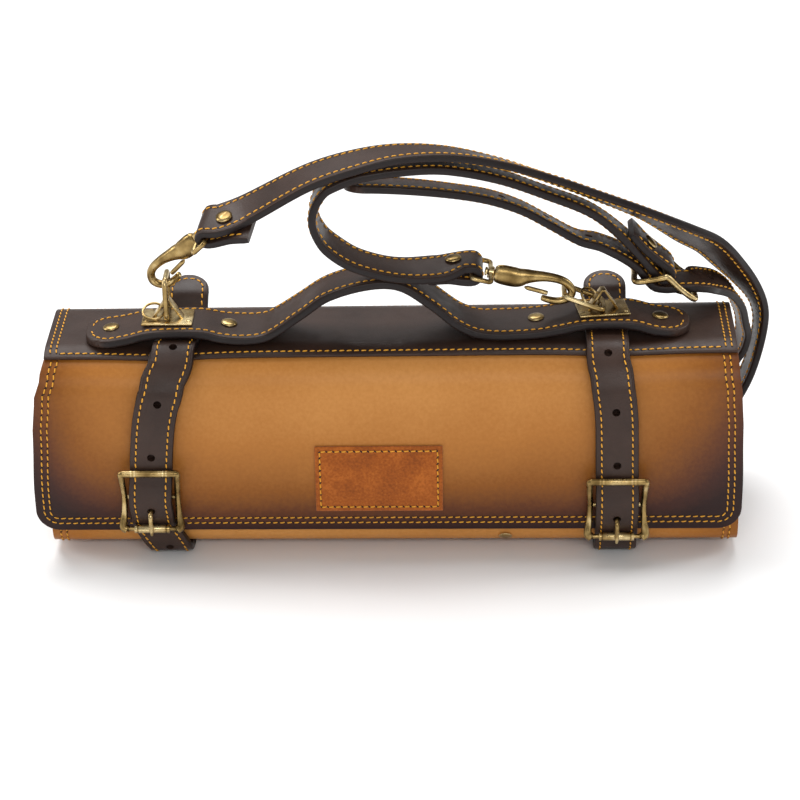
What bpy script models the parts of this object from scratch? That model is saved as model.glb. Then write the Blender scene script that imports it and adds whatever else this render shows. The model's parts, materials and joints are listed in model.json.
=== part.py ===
"""Chef knife roll: a rolled leather sheet with a carry handle, two buckle straps
and a detachable shoulder strap on swivel snap hooks.

+X runs along the roll, -Y is the front with the flap, +Z is up, and z = 0 is the
surface on which the two buckle straps rest. All lengths are in metres.
"""
import math

import bmesh
import bpy
from mathutils import Matrix, Vector

MM = 0.001

# Clearances
TOUCH_GAP = 0.3 * MM      # between two pieces that lie on each other

# The rolled leather sheet
ROLL_LENGTH = 424 * MM    # across the flap at its widest
ROLL_DEPTH = 90 * MM
ROLL_HEIGHT = 127.5 * MM  # in the middle of its length
HEIGHT_TAPER = 0.0115     # the right end stands this share taller, the left end lower
TOP_RADIUS = 24 * MM
BOTTOM_RADIUS = 15 * MM
FACE_CROWN = 3 * MM       # bulge of the front and back faces
LEATHER = 2.6 * MM
LAYER_GAP = 1.4 * MM
FLAP_CORNER = 14 * MM
DENT_DEPTH = 2.2 * MM     # where a buckle strap pulls the top edge down
DENT_SPREAD = 30 * MM
ROLL_END = 13.6           # where the sheet ends inside, in eighths of a turn

# Panel over the top and the bare patch on the front
PANEL_LEATHER = 2.0 * MM
PANEL_FRONT = 5 / 3       # in eighths of a turn
PANEL_BACK = 3.45
PATCH_WIDTH = 76 * MM
PATCH_HEIGHT = 44 * MM
PATCH_LEATHER = 1.2 * MM
PATCH_CENTRE_X = -5.4 * MM
PATCH_BASE = 34 * MM      # height of its lower edge

# Buckle straps
STRAP_WIDTH = 25.4 * MM
STRAP_LEATHER = 4.5 * MM
HOLDER_LEATHER = 2.0 * MM
HOLDER_WIDTH = 24 * MM
HOLDER_LENGTH_BELOW = 12 * MM
HOLE_RADIUS = 2.4 * MM
HOLE_PITCH = 35 * MM
LEFT_STRAP_X = -133 * MM
RIGHT_STRAP_X = 136 * MM

# Roller buckles on the front
BUCKLE_WIDTH = 37.5 * MM
BUCKLE_HEIGHT = 42 * MM
BUCKLE_WIRE = 1.9 * MM
BUCKLE_BAR = 1.3 * MM
ROLLER_OUTER = 2.6 * MM
ROLLER_BORE = 1.65 * MM
PRONG_RADIUS = 1.35 * MM
LEFT_BUCKLE_Z = 46 * MM
RIGHT_BUCKLE_Z = 39.5 * MM

# Carry handle
HANDLE_LEATHER = 5.0 * MM
HANDLE_HALF_LENGTH = 179 * MM
HANDLE_HALF_WIDTH = 19 * MM
HANDLE_ARCH = 33 * MM     # clear height under the arch
HANDLE_CENTRE_Y = -9 * MM
HANDLE_YAW = 0.020        # the right end lies this share further back
RIVET_RADIUS = 4.9 * MM
RIVET_HEIGHT = 1.7 * MM
STUD_X = 70 * MM           # the stud under the flap
STUD_RADIUS = 4.0 * MM

# Brass saddles on the handle and their rings
PLATE_LENGTH = 30 * MM
PLATE_DEPTH = 21 * MM
PLATE_THICKNESS = 1.5 * MM
TENT_WIDTH = 20 * MM
TENT_HEIGHT = 12.5 * MM
TENT_DEPTH = 6 * MM
TENT_SHEET = 1.3 * MM
MOUNT_LEFT_X = -130 * MM
MOUNT_RIGHT_X = 127.5 * MM
MOUNT_RIGHT_YAW = 8.0     # degrees
RING_WIRE = 1.6 * MM
RING_LENGTH = 24.5 * MM   # between the middles of its two bars
RING_WIDTH = 17.5 * MM    # between the middles of its two legs
ROUND_RING_RADIUS = 6.4 * MM
ROUND_RING_WIRE = 0.8 * MM

# Snap hooks
HOOK_LENGTH = 49 * MM
HOOK_THICKNESS = 8 * MM
HOOK_POST = 1.6 * MM
HOOK_HUB = 3.7 * MM
LOOP_WIRE = 1.5 * MM
LOOP_LEG = 11.3 * MM      # from the hub's bar to the bar inside the strap

# Shoulder strap
SHOULDER_WIDTH = 25.4 * MM
SHOULDER_LEATHER = 4.6 * MM
SHOULDER_RISE = 116 * MM  # the top of the arch above the roll's leather
FOLD_TAIL = 26 * MM
SHORT_TAIL = 33 * MM
SHOULDER_BUCKLE_LENGTH = 39 * MM
SHOULDER_BUCKLE_WIDTH = 35 * MM
SHOULDER_BUCKLE_WIRE = 1.9 * MM
SHOULDER_HOLE_PITCH = 30 * MM

HALF_LENGTH = ROLL_LENGTH / 2
HALF_DEPTH = ROLL_DEPTH / 2
ROLL_BASE = STRAP_LEATHER + TOUCH_GAP
LAYER_PITCH = LEATHER + LAYER_GAP
PANEL_TOP = TOUCH_GAP + PANEL_LEATHER

MAT_TAN = "tan_leather"
MAT_DARK = "dark_leather"
MAT_PATCH = "patch_leather"
MAT_BRASS = "antique_brass"


for leftover in list(bpy.data.objects):
    bpy.data.objects.remove(leftover, do_unlink=True)

PARTS = bpy.data.collections.new("chef_knife_roll")
CUTTERS = bpy.data.collections.new("cutters")
bpy.context.scene.collection.children.link(PARTS)
bpy.context.scene.collection.children.link(CUTTERS)


def principled(name, colour, roughness, metallic):
    """One Principled material with plain values."""
    mat = bpy.data.materials.new(name)
    mat.use_nodes = True
    shader = mat.node_tree.nodes["Principled BSDF"]
    shader.inputs["Base Color"].default_value = (*colour, 1.0)
    shader.inputs["Roughness"].default_value = roughness
    shader.inputs["Metallic"].default_value = metallic
    return mat


MATERIALS = {
    MAT_TAN: principled(MAT_TAN, (0.32, 0.13, 0.035), 0.45, 0.0),
    MAT_DARK: principled(MAT_DARK, (0.045, 0.032, 0.028), 0.4, 0.0),
    MAT_PATCH: principled(MAT_PATCH, (0.18, 0.055, 0.012), 0.8, 0.0),
    MAT_BRASS: principled(MAT_BRASS, (0.42, 0.31, 0.13), 0.35, 1.0),
}


def place(mesh, name, material, matrix=None, parent=None):
    """Put a mesh into the part as its own named object."""
    obj = bpy.data.objects.new(name, mesh)
    PARTS.objects.link(obj)
    mesh.materials.clear()
    mesh.materials.append(MATERIALS[material])
    obj.parent = parent
    if matrix is not None:
        obj.matrix_world = matrix
    return obj


def mesh_of(name, points, faces, smooth=False):
    """A mesh of points and faces, all faces turned outward."""
    mesh = bpy.data.meshes.new(name)
    mesh.from_pydata([tuple(p) for p in points], [], faces)
    work = bmesh.new()
    work.from_mesh(mesh)
    bmesh.ops.recalc_face_normals(work, faces=work.faces)
    work.to_mesh(mesh)
    work.free()
    if smooth:
        mesh.shade_smooth()
        mesh.set_sharp_from_angle(angle=math.radians(40))
    return mesh


def smooth_route(rows, step, turn):
    """Points on a smooth curve through the rows, thinned where it runs straight.

    Each row is a place (a Vector) and the width direction there (a Vector).
    A point is kept every step metres, or wherever the route has turned by turn degrees.
    """
    fine = []
    spans = len(rows) - 1
    for i in range(spans):
        before, start = rows[max(i - 1, 0)], rows[i]
        end, after = rows[i + 1], rows[min(i + 2, spans)]
        chord = (end[0] - start[0]).length
        pulls = []
        for low, mid, high in ((before, start, end), (start, end, after)):
            reach = (high[0] - low[0]).length
            pulls.append([(high[k] - low[k]) * (chord / max(reach, 1e-9)) for k in (0, 1)])
        count = max(4, int(chord / (1 * MM)))
        for j in range(count):
            f = j / count
            h1, h2 = 2 * f ** 3 - 3 * f ** 2 + 1, -2 * f ** 3 + 3 * f ** 2
            h3, h4 = f ** 3 - 2 * f ** 2 + f, f ** 3 - f ** 2
            fine.append([start[k] * h1 + end[k] * h2 + pulls[0][k] * h3 + pulls[1][k] * h4 for k in (0, 1)])
    fine.append([rows[-1][0].copy(), rows[-1][1].copy()])
    kept = [fine[0]]
    heading = (fine[1][0] - fine[0][0]).normalized()
    for here, ahead in zip(fine[1:-1], fine[2:]):
        now = (ahead[0] - here[0]).normalized()
        gone = (here[0] - kept[-1][0]).length
        if gone >= step or (gone > 1.5 * MM and now.angle(heading) >= math.radians(turn)):
            kept.append(here)
            heading = now
    if (kept[-1][0] - fine[-1][0]).length < 1.2 * MM and len(kept) > 2:
        kept.pop()
    kept.append(fine[-1])
    return kept


def frames_along(route):
    """Place, width direction, face direction and distance gone, at each point of a route."""
    frames = []
    gone = 0.0
    for i, (here, across) in enumerate(route):
        ahead = route[min(i + 1, len(route) - 1)][0]
        behind = route[max(i - 1, 0)][0]
        along = (ahead - behind).normalized()
        wide = (across - along * across.dot(along)).normalized()
        if i:
            gone += (here - route[i - 1][0]).length
        frames.append((here, wide, along.cross(wide).normalized(), gone))
    return frames


def round_tip(gone, half_width, radius):
    """Half width of a band near a round tip, at a distance gone from it."""
    short = radius - min(gone, radius)
    return half_width - radius + math.sqrt(max(radius ** 2 - short ** 2, 0.0))


def band(name, route, width, thickness, material, start_round=0.0, end_round=0.0, wide_at=None):
    """A flat strap swept along a route, with square or rounded ends."""
    frames = frames_along(route)
    length = frames[-1][3]
    points = []
    for here, wide, face, gone in frames:
        half = width / 2
        if wide_at:
            half = wide_at(here)
        if start_round:
            half = min(half, round_tip(gone, half, start_round))
        if end_round:
            half = min(half, round_tip(length - gone, half, end_round))
        half = max(half, 1.2 * MM)
        for side, up in ((-1, -1), (1, -1), (1, 1), (-1, 1)):
            points.append(here + wide * (side * half) + face * (up * thickness / 2))
    faces = []
    for i in range(len(frames) - 1):
        a, b = i * 4, i * 4 + 4
        faces += [(a + k, a + (k + 1) % 4, b + (k + 1) % 4, b + k) for k in range(4)]
    last = len(points) - 4
    faces += [(3, 2, 1, 0), (last, last + 1, last + 2, last + 3)]
    return place(mesh_of(name, points, faces), name, material)


def sheet(name, grid, thickness, material, outward):
    """An open leather surface made solid; outward leather grows away from the roll."""
    columns = len(grid[0])
    points = [p for row in grid for p in row]
    faces = []
    for i in range(len(grid) - 1):
        for j in range(columns - 1):
            a, b = i * columns + j, (i + 1) * columns + j
            faces.append((a, a + 1, b + 1, b))
    mesh = bpy.data.meshes.new(name)
    mesh.from_pydata([tuple(p) for p in points], [], faces)
    obj = place(mesh, name, material)
    solid = obj.modifiers.new("leather", "SOLIDIFY")
    solid.thickness = thickness
    solid.offset = 1.0 if outward else -1.0
    solid.use_even_offset = True
    return obj


def wire(name, points, radius, closed, sides_level=1):
    """A mesh tube along points, made from a bevelled curve with its caps welded."""
    curve = bpy.data.curves.new(name, "CURVE")
    curve.dimensions = "3D"
    curve.bevel_depth = radius
    curve.bevel_resolution = sides_level
    curve.use_fill_caps = True
    line = curve.splines.new("POLY")
    line.points.add(len(points) - 1)
    for slot, p in zip(line.points, points):
        slot.co = (*p, 1.0)
    line.use_cyclic_u = closed
    obj = bpy.data.objects.new(name + "_curve", curve)
    CUTTERS.objects.link(obj)
    graph = bpy.context.evaluated_depsgraph_get()
    mesh = bpy.data.meshes.new_from_object(obj.evaluated_get(graph))
    bpy.data.objects.remove(obj, do_unlink=True)
    work = bmesh.new()
    work.from_mesh(mesh)
    bmesh.ops.remove_doubles(work, verts=work.verts, dist=0.00001)
    bmesh.ops.recalc_face_normals(work, faces=work.faces)
    work.to_mesh(mesh)
    work.free()
    mesh.name = name
    mesh.shade_smooth()
    mesh.set_sharp_from_angle(angle=math.radians(50))
    return mesh


def rod(radius, length, sides, matrix, taper=1.0):
    """A mesh cylinder along its own Z, moved by a matrix."""
    work = bmesh.new()
    bmesh.ops.create_cone(work, cap_ends=True, segments=sides, radius1=radius,
                          radius2=radius * taper, depth=length, matrix=matrix)
    mesh = bpy.data.meshes.new("rod")
    work.to_mesh(mesh)
    work.free()
    return mesh


def tool(mesh, name, matrix=None, parent=None):
    """A mesh used only to cut or to join; it isn't part of the model."""
    obj = bpy.data.objects.new(name, mesh)
    CUTTERS.objects.link(obj)
    obj.parent = parent
    if matrix is not None:
        obj.matrix_world = matrix
    obj.hide_render = True
    obj.display_type = "WIRE"
    return obj


def boolean(obj, other, operation):
    """Join or cut with another object."""
    step = obj.modifiers.new(operation.lower(), "BOOLEAN")
    step.operation = operation
    step.object = other
    step.solver = "EXACT"


def turned(name, profile, sides, material, matrix, ring=False):
    """A turned piece: profile rows of radius and height, top to bottom, spun about Z."""
    mesh = bpy.data.meshes.new(name)
    points = [(r, 0.0, z) for r, z in profile]
    edges = [(i, i + 1) for i in range(len(points) - 1)]
    if ring:
        edges.append((len(points) - 1, 0))
    mesh.from_pydata(points, edges, [])
    obj = place(mesh, name, material, matrix)
    spin = obj.modifiers.new("spin", "SCREW")
    spin.steps = sides
    spin.render_steps = sides
    spin.use_merge_vertices = True
    spin.merge_threshold = 0.00001
    spin.use_smooth_shade = True
    return obj


def axes(origin, x_axis, z_hint):
    """A frame with its X along x_axis and its Z near z_hint."""
    x = x_axis.normalized()
    z = (z_hint - x * z_hint.dot(x)).normalized()
    y = z.cross(x)
    return Matrix.Translation(origin) @ Matrix((x, y, z)).transposed().to_4x4()


# The roll: its outline in eighths of a turn, from the flap's edge up the front,
# over the top, down the back and along the bottom

LEFT_SWAY = [(-5.0, 0.08), (-1.5, 0.08), (-0.5, 0.03), (0.06, -0.28), (0.29, -0.33), (0.55, -0.28),
             (0.79, -0.19), (1.2, 0.04), (1.55, 0.27), (2.2, 0.42), (4.0, 0.53)]
RIGHT_SWAY = [(-5.0, 0.0), (0.3, 0.0), (0.79, -0.04), (1.2, -0.14), (1.55, -0.25), (4.0, -0.23)]
# Turn, left half length and right half length of the leather, as shares of HALF_LENGTH
SHEET_WIDTHS = [(0.0, 1.0, 0.995), (0.6, 1.0, 0.995), (1.0, 0.985, 0.985), (1.35, 0.955, 0.972),
                (4.0, 0.955, 0.972), (6.0, 0.96, 0.98), (7.0, 0.962, 0.99), (8.0, 0.962, 0.99),
                (9.0, 0.95, 0.97), (14.0, 0.95, 0.97)]
COLUMN_SHARES = [-1, -0.9, -0.76, -0.64, -0.5, -0.25, 0, 0.25, 0.5, 0.64, 0.76, 0.9, 1]


def read_rows(rows, at, column=1):
    """The value of a column at a place, in a table sorted by its first column."""
    if at <= rows[0][0]:
        return rows[0][column]
    for low, high in zip(rows, rows[1:]):
        if at <= high[0]:
            f = (at - low[0]) / (high[0] - low[0])
            f = f * f * (3 - 2 * f)
            return low[column] + (high[column] - low[column]) * f
    return rows[-1][column]


def roll_top(x):
    """Height of the rolled leather at a place along the roll."""
    return ROLL_BASE + ROLL_HEIGHT * (1 + HEIGHT_TAPER * x / HALF_LENGTH)


def dent(turn, x):
    """How far the buckle straps pull the leather in along the top front edge."""
    near = max(0.0, math.cos(math.pi * (turn - 1.6) / 1.8)) if abs(turn - 1.6) < 0.9 else 0.0
    pull = sum(math.exp(-(((x - middle) / DENT_SPREAD) ** 2)) for middle in (LEFT_STRAP_X, RIGHT_STRAP_X))
    return DENT_DEPTH * near * pull


def section(turn, x, out=0.0):
    """A point out metres off the roll's outline, and the direction that faces out there."""
    side = math.floor(turn)
    f = turn - side
    side %= 8
    out -= dent(side + f, x)
    top = roll_top(x)
    low, high = ROLL_BASE + BOTTOM_RADIUS, top - TOP_RADIUS
    crown = FACE_CROWN * math.sin(math.pi * f)
    swing = f * math.pi / 2
    s, c = math.sin(swing), math.cos(swing)
    flat_top, flat_base = HALF_DEPTH - TOP_RADIUS, HALF_DEPTH - BOTTOM_RADIUS
    y, z, face = [
        (-HALF_DEPTH - crown, low + (high - low) * f, (-1, 0)),
        (-flat_top - TOP_RADIUS * c, high + TOP_RADIUS * s, (-c, s)),
        (-flat_top + 2 * flat_top * f, top, (0, 1)),
        (flat_top + TOP_RADIUS * s, high + TOP_RADIUS * c, (s, c)),
        (HALF_DEPTH + crown * 0.5, high - (high - low) * f, (1, 0)),
        (flat_base + BOTTOM_RADIUS * c, low - BOTTOM_RADIUS * s, (c, -s)),
        (flat_base - 2 * flat_base * f, ROLL_BASE, (0, -1)),
        (-flat_base - BOTTOM_RADIUS * s, low - BOTTOM_RADIUS * c, (-s, -c)),
    ][side]
    return Vector((x, y + face[0] * out, z + face[1] * out)), Vector((0, *face))


def layer_inset(turn):
    """The sheet goes one layer inward as it passes behind its own flap."""
    laps = math.floor(turn / 8)
    f = min(max((turn - laps * 8 - 6.6) / 1.4, 0.0), 1.0)
    return LAYER_PITCH * (laps + f * f * (3 - 2 * f))


def sheet_x(turn, share, from_edge):
    """Place along the roll of a column of the sheet, with the flap's corners rounded."""
    half = HALF_LENGTH * read_rows(SHEET_WIDTHS, turn, 1 if share < 0 else 2)
    short = FLAP_CORNER - min(from_edge, FLAP_CORNER)
    half -= FLAP_CORNER - math.sqrt(FLAP_CORNER ** 2 - short ** 2)
    return half * share


def turns_between(start, end, corner_steps, side_steps):
    """Turn values from start to end, closer together round the corners."""
    values = [start]
    while values[-1] < end - 1e-9:
        side = math.floor(values[-1] + 1e-9)
        steps = corner_steps if side % 2 else side_steps
        step = math.floor((values[-1] - side) * steps + 1 + 1e-6) / steps
        values.append(min(side + step, end))
    return values


def make_roll_body():
    front = roll_top(0) - TOP_RADIUS - ROLL_BASE - BOTTOM_RADIUS
    edge = [FLAP_CORNER * s / front for s in (0.0, 0.1, 0.3, 0.6, 1.0)]
    grid = []
    for turn in edge + turns_between(0.4, ROLL_END, 3, 3):
        from_edge = turn * front
        row = []
        for share in COLUMN_SHARES:
            x = sheet_x(turn, share, from_edge)
            row.append(section(turn, x, -layer_inset(turn))[0])
        grid.append(row)
    return sheet("roll_body", grid, LEATHER, MAT_TAN, outward=False)


def make_top_panel():
    grid = []
    for turn in turns_between(PANEL_FRONT, PANEL_BACK, 3, 3):
        grid.append([section(turn, sheet_x(2, share, FLAP_CORNER), TOUCH_GAP)[0] for share in COLUMN_SHARES])
    return sheet("top_panel", grid, PANEL_LEATHER, MAT_DARK, outward=True)


def front_turn(height, x):
    """The turn at which the front face has a height."""
    low = ROLL_BASE + BOTTOM_RADIUS
    return (height - low) / (roll_top(x) - TOP_RADIUS - low)


def make_name_patch():
    grid = []
    for i in range(5):
        turn = front_turn(PATCH_BASE + PATCH_HEIGHT * i / 4, PATCH_CENTRE_X)
        grid.append([section(turn, PATCH_CENTRE_X + PATCH_WIDTH * j / 6, TOUCH_GAP)[0] for j in range(-3, 4)])
    return sheet("name_patch", grid, PATCH_LEATHER, MAT_PATCH, outward=True)


# Buckle straps, their buckles and the short straps that hold them

HOLDER_OUT = TOUCH_GAP + HOLDER_LEATHER / 2
BAR_OUT = 2 * TOUCH_GAP + HOLDER_LEATHER + BUCKLE_BAR
WRAP_RADIUS = BUCKLE_BAR + TOUCH_GAP + HOLDER_LEATHER / 2
OVER_BAR = BAR_OUT + WRAP_RADIUS + HOLDER_LEATHER / 2 + TOUCH_GAP + STRAP_LEATHER / 2
BEHIND_TOP_BAR = HOLDER_OUT + HOLDER_LEATHER / 2 + 3 * TOUCH_GAP + STRAP_LEATHER / 2
BEHIND_ROLLER = TOUCH_GAP + STRAP_LEATHER / 2 + 2.2 * MM
TOP_BAR_OUT = BEHIND_TOP_BAR + STRAP_LEATHER / 2 + TOUCH_GAP + BUCKLE_WIRE
ROLLER_OUT = BEHIND_ROLLER + STRAP_LEATHER / 2 + 3 * TOUCH_GAP + ROLLER_OUTER
BAR_SPAN = BUCKLE_HEIGHT / 2 - BUCKLE_WIRE


def buckle_frame_at(middle, sway, height):
    """The frame of a buckle: origin on its centre bar, X along it, Z up, -Y facing out."""
    turn = front_turn(height, middle)
    x = middle + STRAP_WIDTH * read_rows(sway, turn)
    return Matrix.Translation(section(turn, x, BAR_OUT)[0]), turn


def strap_route(middle, sway, height):
    """Route of a free buckle strap, from its tip behind the handle to its end at the back."""
    frame, bar_turn = buckle_frame_at(middle, sway, height)
    rise = roll_top(middle) - TOP_RADIUS - ROLL_BASE - BOTTOM_RADIUS
    on_panel = PANEL_TOP + 1.5 * TOUCH_GAP + STRAP_LEATHER / 2
    on_roll = TOUCH_GAP + STRAP_LEATHER / 2
    over_holder = PANEL_TOP + 6 * TOUCH_GAP + HOLDER_LEATHER + STRAP_LEATHER / 2
    reach = BAR_SPAN / rise
    table = [
        (3.2, on_panel + 16 * MM), (3.0, on_panel + 9.5 * MM), (2.9, on_panel + 4.2 * MM),
        (2.8, on_panel + 0.3 * MM), (2.6, on_panel), (2.3, on_panel), (1.95, on_panel + 0.5 * MM),
        (1.75, over_holder), (1.5, over_holder), (1.33, over_holder), (1.15, over_holder + 0.7 * MM),
        (1.0, over_holder + 0.4 * MM), (0.85, over_holder - 0.5 * MM),
        (bar_turn + reach * 1.3, BEHIND_TOP_BAR), (bar_turn + reach, BEHIND_TOP_BAR),
        (bar_turn + reach * 0.5, (BEHIND_TOP_BAR + OVER_BAR) / 2 + 1.2 * MM), (bar_turn, OVER_BAR),
        (bar_turn - reach * 0.5, (BEHIND_ROLLER + OVER_BAR) / 2 + 0.8 * MM), (bar_turn - reach, BEHIND_ROLLER),
        (-0.45, on_roll), (-0.75, on_roll), (-0.9, on_roll), (-1.0, on_roll), (-1.06, on_roll),
        (-1.94, on_roll), (-2.0, on_roll), (-2.1, on_roll + 0.1 * MM), (-2.3, on_roll + 0.35 * MM),
        (-2.55, on_roll + 0.4 * MM), (-3.0, on_roll + 0.3 * MM), (-3.5, on_roll + 0.2 * MM),
        (-4.0, on_roll + 0.4 * MM), (-4.35, on_roll + 0.4 * MM),
    ]
    rows = []
    for turn, out in table:
        x = middle + STRAP_WIDTH * read_rows(sway, turn)
        rows.append((section(turn, x, out)[0], Vector((1, 0, 0))))
    return smooth_route(rows, 16 * MM, 13)


def punch(obj, route, places, radius):
    """Round holes through a strap at distances along its route."""
    frames = frames_along(route)
    work = bmesh.new()
    for place_at in places:
        for (p, wide, face, gone), (q, _, _, further) in zip(frames, frames[1:]):
            if gone <= place_at < further:
                middle = p.lerp(q, (place_at - gone) / (further - gone))
                matrix = axes(middle, wide, face)
                bmesh.ops.create_cone(work, cap_ends=True, segments=8, radius1=radius, radius2=radius,
                                      depth=14 * MM, matrix=matrix)
    mesh = bpy.data.meshes.new(obj.name + "_holes")
    work.to_mesh(mesh)
    work.free()
    boolean(obj, tool(mesh, obj.name + "_holes"), "DIFFERENCE")


def distance_to(route, point):
    """How far along a route its nearest point to a place is."""
    frames = frames_along(route)
    found = []
    for (p, _, _, gone), (q, _, _, further) in zip(frames, frames[1:]):
        share = min(max((point - p).dot(q - p) / (q - p).length_squared, 0.0), 1.0)
        found.append(((p.lerp(q, share) - point).length, gone + share * (further - gone)))
    return min(found)[1]


def make_buckle(side, middle, sway, height):
    frame, bar_turn = buckle_frame_at(middle, sway, height)
    place_of = frame.translation
    half = BUCKLE_WIDTH / 2 - BUCKLE_WIRE
    span = BAR_SPAN
    top_y = section(front_turn(height + span, middle), place_of.x, TOP_BAR_OUT)[0].y - place_of.y
    low_y = section(front_turn(height - span, middle), place_of.x, ROLLER_OUT)[0].y - place_of.y

    # the frame: top bar, waisted rails and a thinner bottom bar under the roller
    outline = [
        (-half * 0.93, top_y, span, 1.0), (half * 0.93, top_y, span, 1.0), (half, top_y * 0.95, span * 0.93, 1.0),
        (half * 0.95, top_y * 0.5, span * 0.4, 0.85), (half * 0.93, top_y * 0.25, 0, 0.85),
        (half * 0.97, low_y * 0.5, -span * 0.5, 0.95), (half * 1.03, low_y * 0.92, -span * 0.93, 1.5),
        (half * 0.9, low_y, -span * 1.02, 1.5), (half * 0.72, low_y, -span, 0.68),
        (-half * 0.72, low_y, -span, 0.68), (-half * 0.9, low_y, -span * 1.02, 1.5),
        (-half * 1.03, low_y * 0.92, -span * 0.93, 1.5), (-half * 0.97, low_y * 0.5, -span * 0.5, 0.95),
        (-half * 0.93, top_y * 0.25, 0, 0.85), (-half * 0.95, top_y * 0.5, span * 0.4, 0.85),
        (-half, top_y * 0.95, span * 0.93, 1.0),
    ]
    mesh = thick_wire("buckle_frame", outline, BUCKLE_WIRE)
    buckle = place(mesh, f"buckle_frame_{side}", MAT_BRASS, frame)
    bar_turn_x = Matrix.Rotation(math.pi / 2, 4, "Y")
    bar = rod(BUCKLE_BAR, half * 1.86, 8, bar_turn_x)
    boolean(buckle, tool(bar, f"buckle_bar_{side}", frame), "UNION")

    roller_half = half * 0.62
    roller = turned(f"buckle_roller_{side}",
                    [(ROLLER_OUTER, roller_half), (ROLLER_OUTER, -roller_half), (ROLLER_BORE, -roller_half),
                     (ROLLER_BORE, roller_half)], 10, MAT_BRASS,
                    Matrix.Translation(place_of + Vector((0, low_y, -span))) @ bar_turn_x, ring=True)

    # the prong comes through the strap and lies over the roller
    touch = ROLLER_OUTER + TOUCH_GAP + PRONG_RADIUS
    over = OVER_BAR - BAR_OUT + STRAP_LEATHER / 2 + TOUCH_GAP + PRONG_RADIUS
    prong_rows = [(-0.23, -(WRAP_RADIUS + 0.4 * MM), 0.9), (-0.30, -over * 0.62, 1.0), (-0.40, -over * 0.97, 1.0),
                  (-0.60, -over * 1.05, 1.0), (-0.85, low_y - touch * 1.02, 1.0), (-1.0, low_y - touch, 0.9),
                  (-1.13, low_y - touch * 0.88, 0.6)]
    prong = thick_wire("buckle_prong", [(0, y, z * span, r) for z, y, r in prong_rows], PRONG_RADIUS, closed=False)
    place(prong, f"buckle_prong_{side}", MAT_BRASS, frame)

    # the holder strap wraps the centre bar
    strap_x = Vector((1, 0, 0))
    up, out = Vector((0, 0, 1)), Vector((0, -1, 0))
    rows = []
    raised = PANEL_TOP + 0.8 * MM
    for turn, lift in ((1.72, raised), (1.6, raised), (1.45, raised), (1.3, raised), (1.2, 1.1 * PANEL_TOP),
                       (1.1, 0.5 * PANEL_TOP), (1.0, 0.3 * PANEL_TOP), (0.85, 0.2 * MM), (0.72, 0.2 * MM),
                       (0.6, 0.2 * MM), (0.51, 0.2 * MM)):
        x = place_of.x + (middle + STRAP_WIDTH * read_rows(sway, turn) - place_of.x) * 0.85
        rows.append((section(turn, x, HOLDER_OUT + lift)[0], strap_x))
    tail = HOLDER_LENGTH_BELOW
    layered = HOLDER_OUT + HOLDER_LEATHER + TOUCH_GAP

    def on_front(above, reach_out):
        return section(front_turn(height + above, middle), place_of.x, reach_out)[0]
    rows += [(on_front(tail * 1.42, HOLDER_OUT + 0.9 * MM), strap_x), (on_front(tail * 1.05, layered), strap_x)]
    for z, y in ((0.35 * tail, WRAP_RADIUS * 0.82), (0, WRAP_RADIUS), (-0.71 * WRAP_RADIUS, 0.71 * WRAP_RADIUS),
                 (-WRAP_RADIUS, 0), (-0.71 * WRAP_RADIUS, -0.71 * WRAP_RADIUS), (0, -WRAP_RADIUS)):
        rows.append((place_of + up * z + out * y, strap_x))
    rows += [(on_front(tail * 0.45, HOLDER_OUT), strap_x), (on_front(tail, HOLDER_OUT), strap_x)]
    band(f"buckle_holder_{side}", smooth_route(rows, 16 * MM, 15), HOLDER_WIDTH, HOLDER_LEATHER, MAT_DARK)

    # the free strap with its holes
    route = strap_route(middle, sway, height)
    strap = band(f"buckle_strap_{side}", route, STRAP_WIDTH, STRAP_LEATHER, MAT_DARK, start_round=STRAP_WIDTH / 2)
    pierced = distance_to(route, place_of + Vector((0, -over * 0.6, -0.31 * span)))
    punch(strap, route, [pierced - k * HOLE_PITCH for k in range(-1, 5)], HOLE_RADIUS)


def thick_wire(name, rows, radius, closed=True):
    """A mesh tube through rows of x, y, z and its thickness as a share of radius."""
    curve = bpy.data.curves.new(name, "CURVE")
    curve.dimensions = "3D"
    curve.bevel_depth = radius
    curve.bevel_resolution = 2
    curve.use_fill_caps = True
    line = curve.splines.new("POLY")
    line.points.add(len(rows) - 1)
    for slot, (x, y, z, share) in zip(line.points, rows):
        slot.co = (x, y, z, 1.0)
        slot.radius = share
    line.use_cyclic_u = closed
    obj = bpy.data.objects.new(name + "_curve", curve)
    CUTTERS.objects.link(obj)
    graph = bpy.context.evaluated_depsgraph_get()
    mesh = bpy.data.meshes.new_from_object(obj.evaluated_get(graph))
    bpy.data.objects.remove(obj, do_unlink=True)
    work = bmesh.new()
    work.from_mesh(mesh)
    bmesh.ops.remove_doubles(work, verts=work.verts, dist=0.00001)
    bmesh.ops.recalc_face_normals(work, faces=work.faces)
    work.to_mesh(mesh)
    work.free()
    mesh.name = name
    mesh.shade_smooth()
    mesh.set_sharp_from_angle(angle=math.radians(50))
    return mesh


# Carry handle

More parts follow.
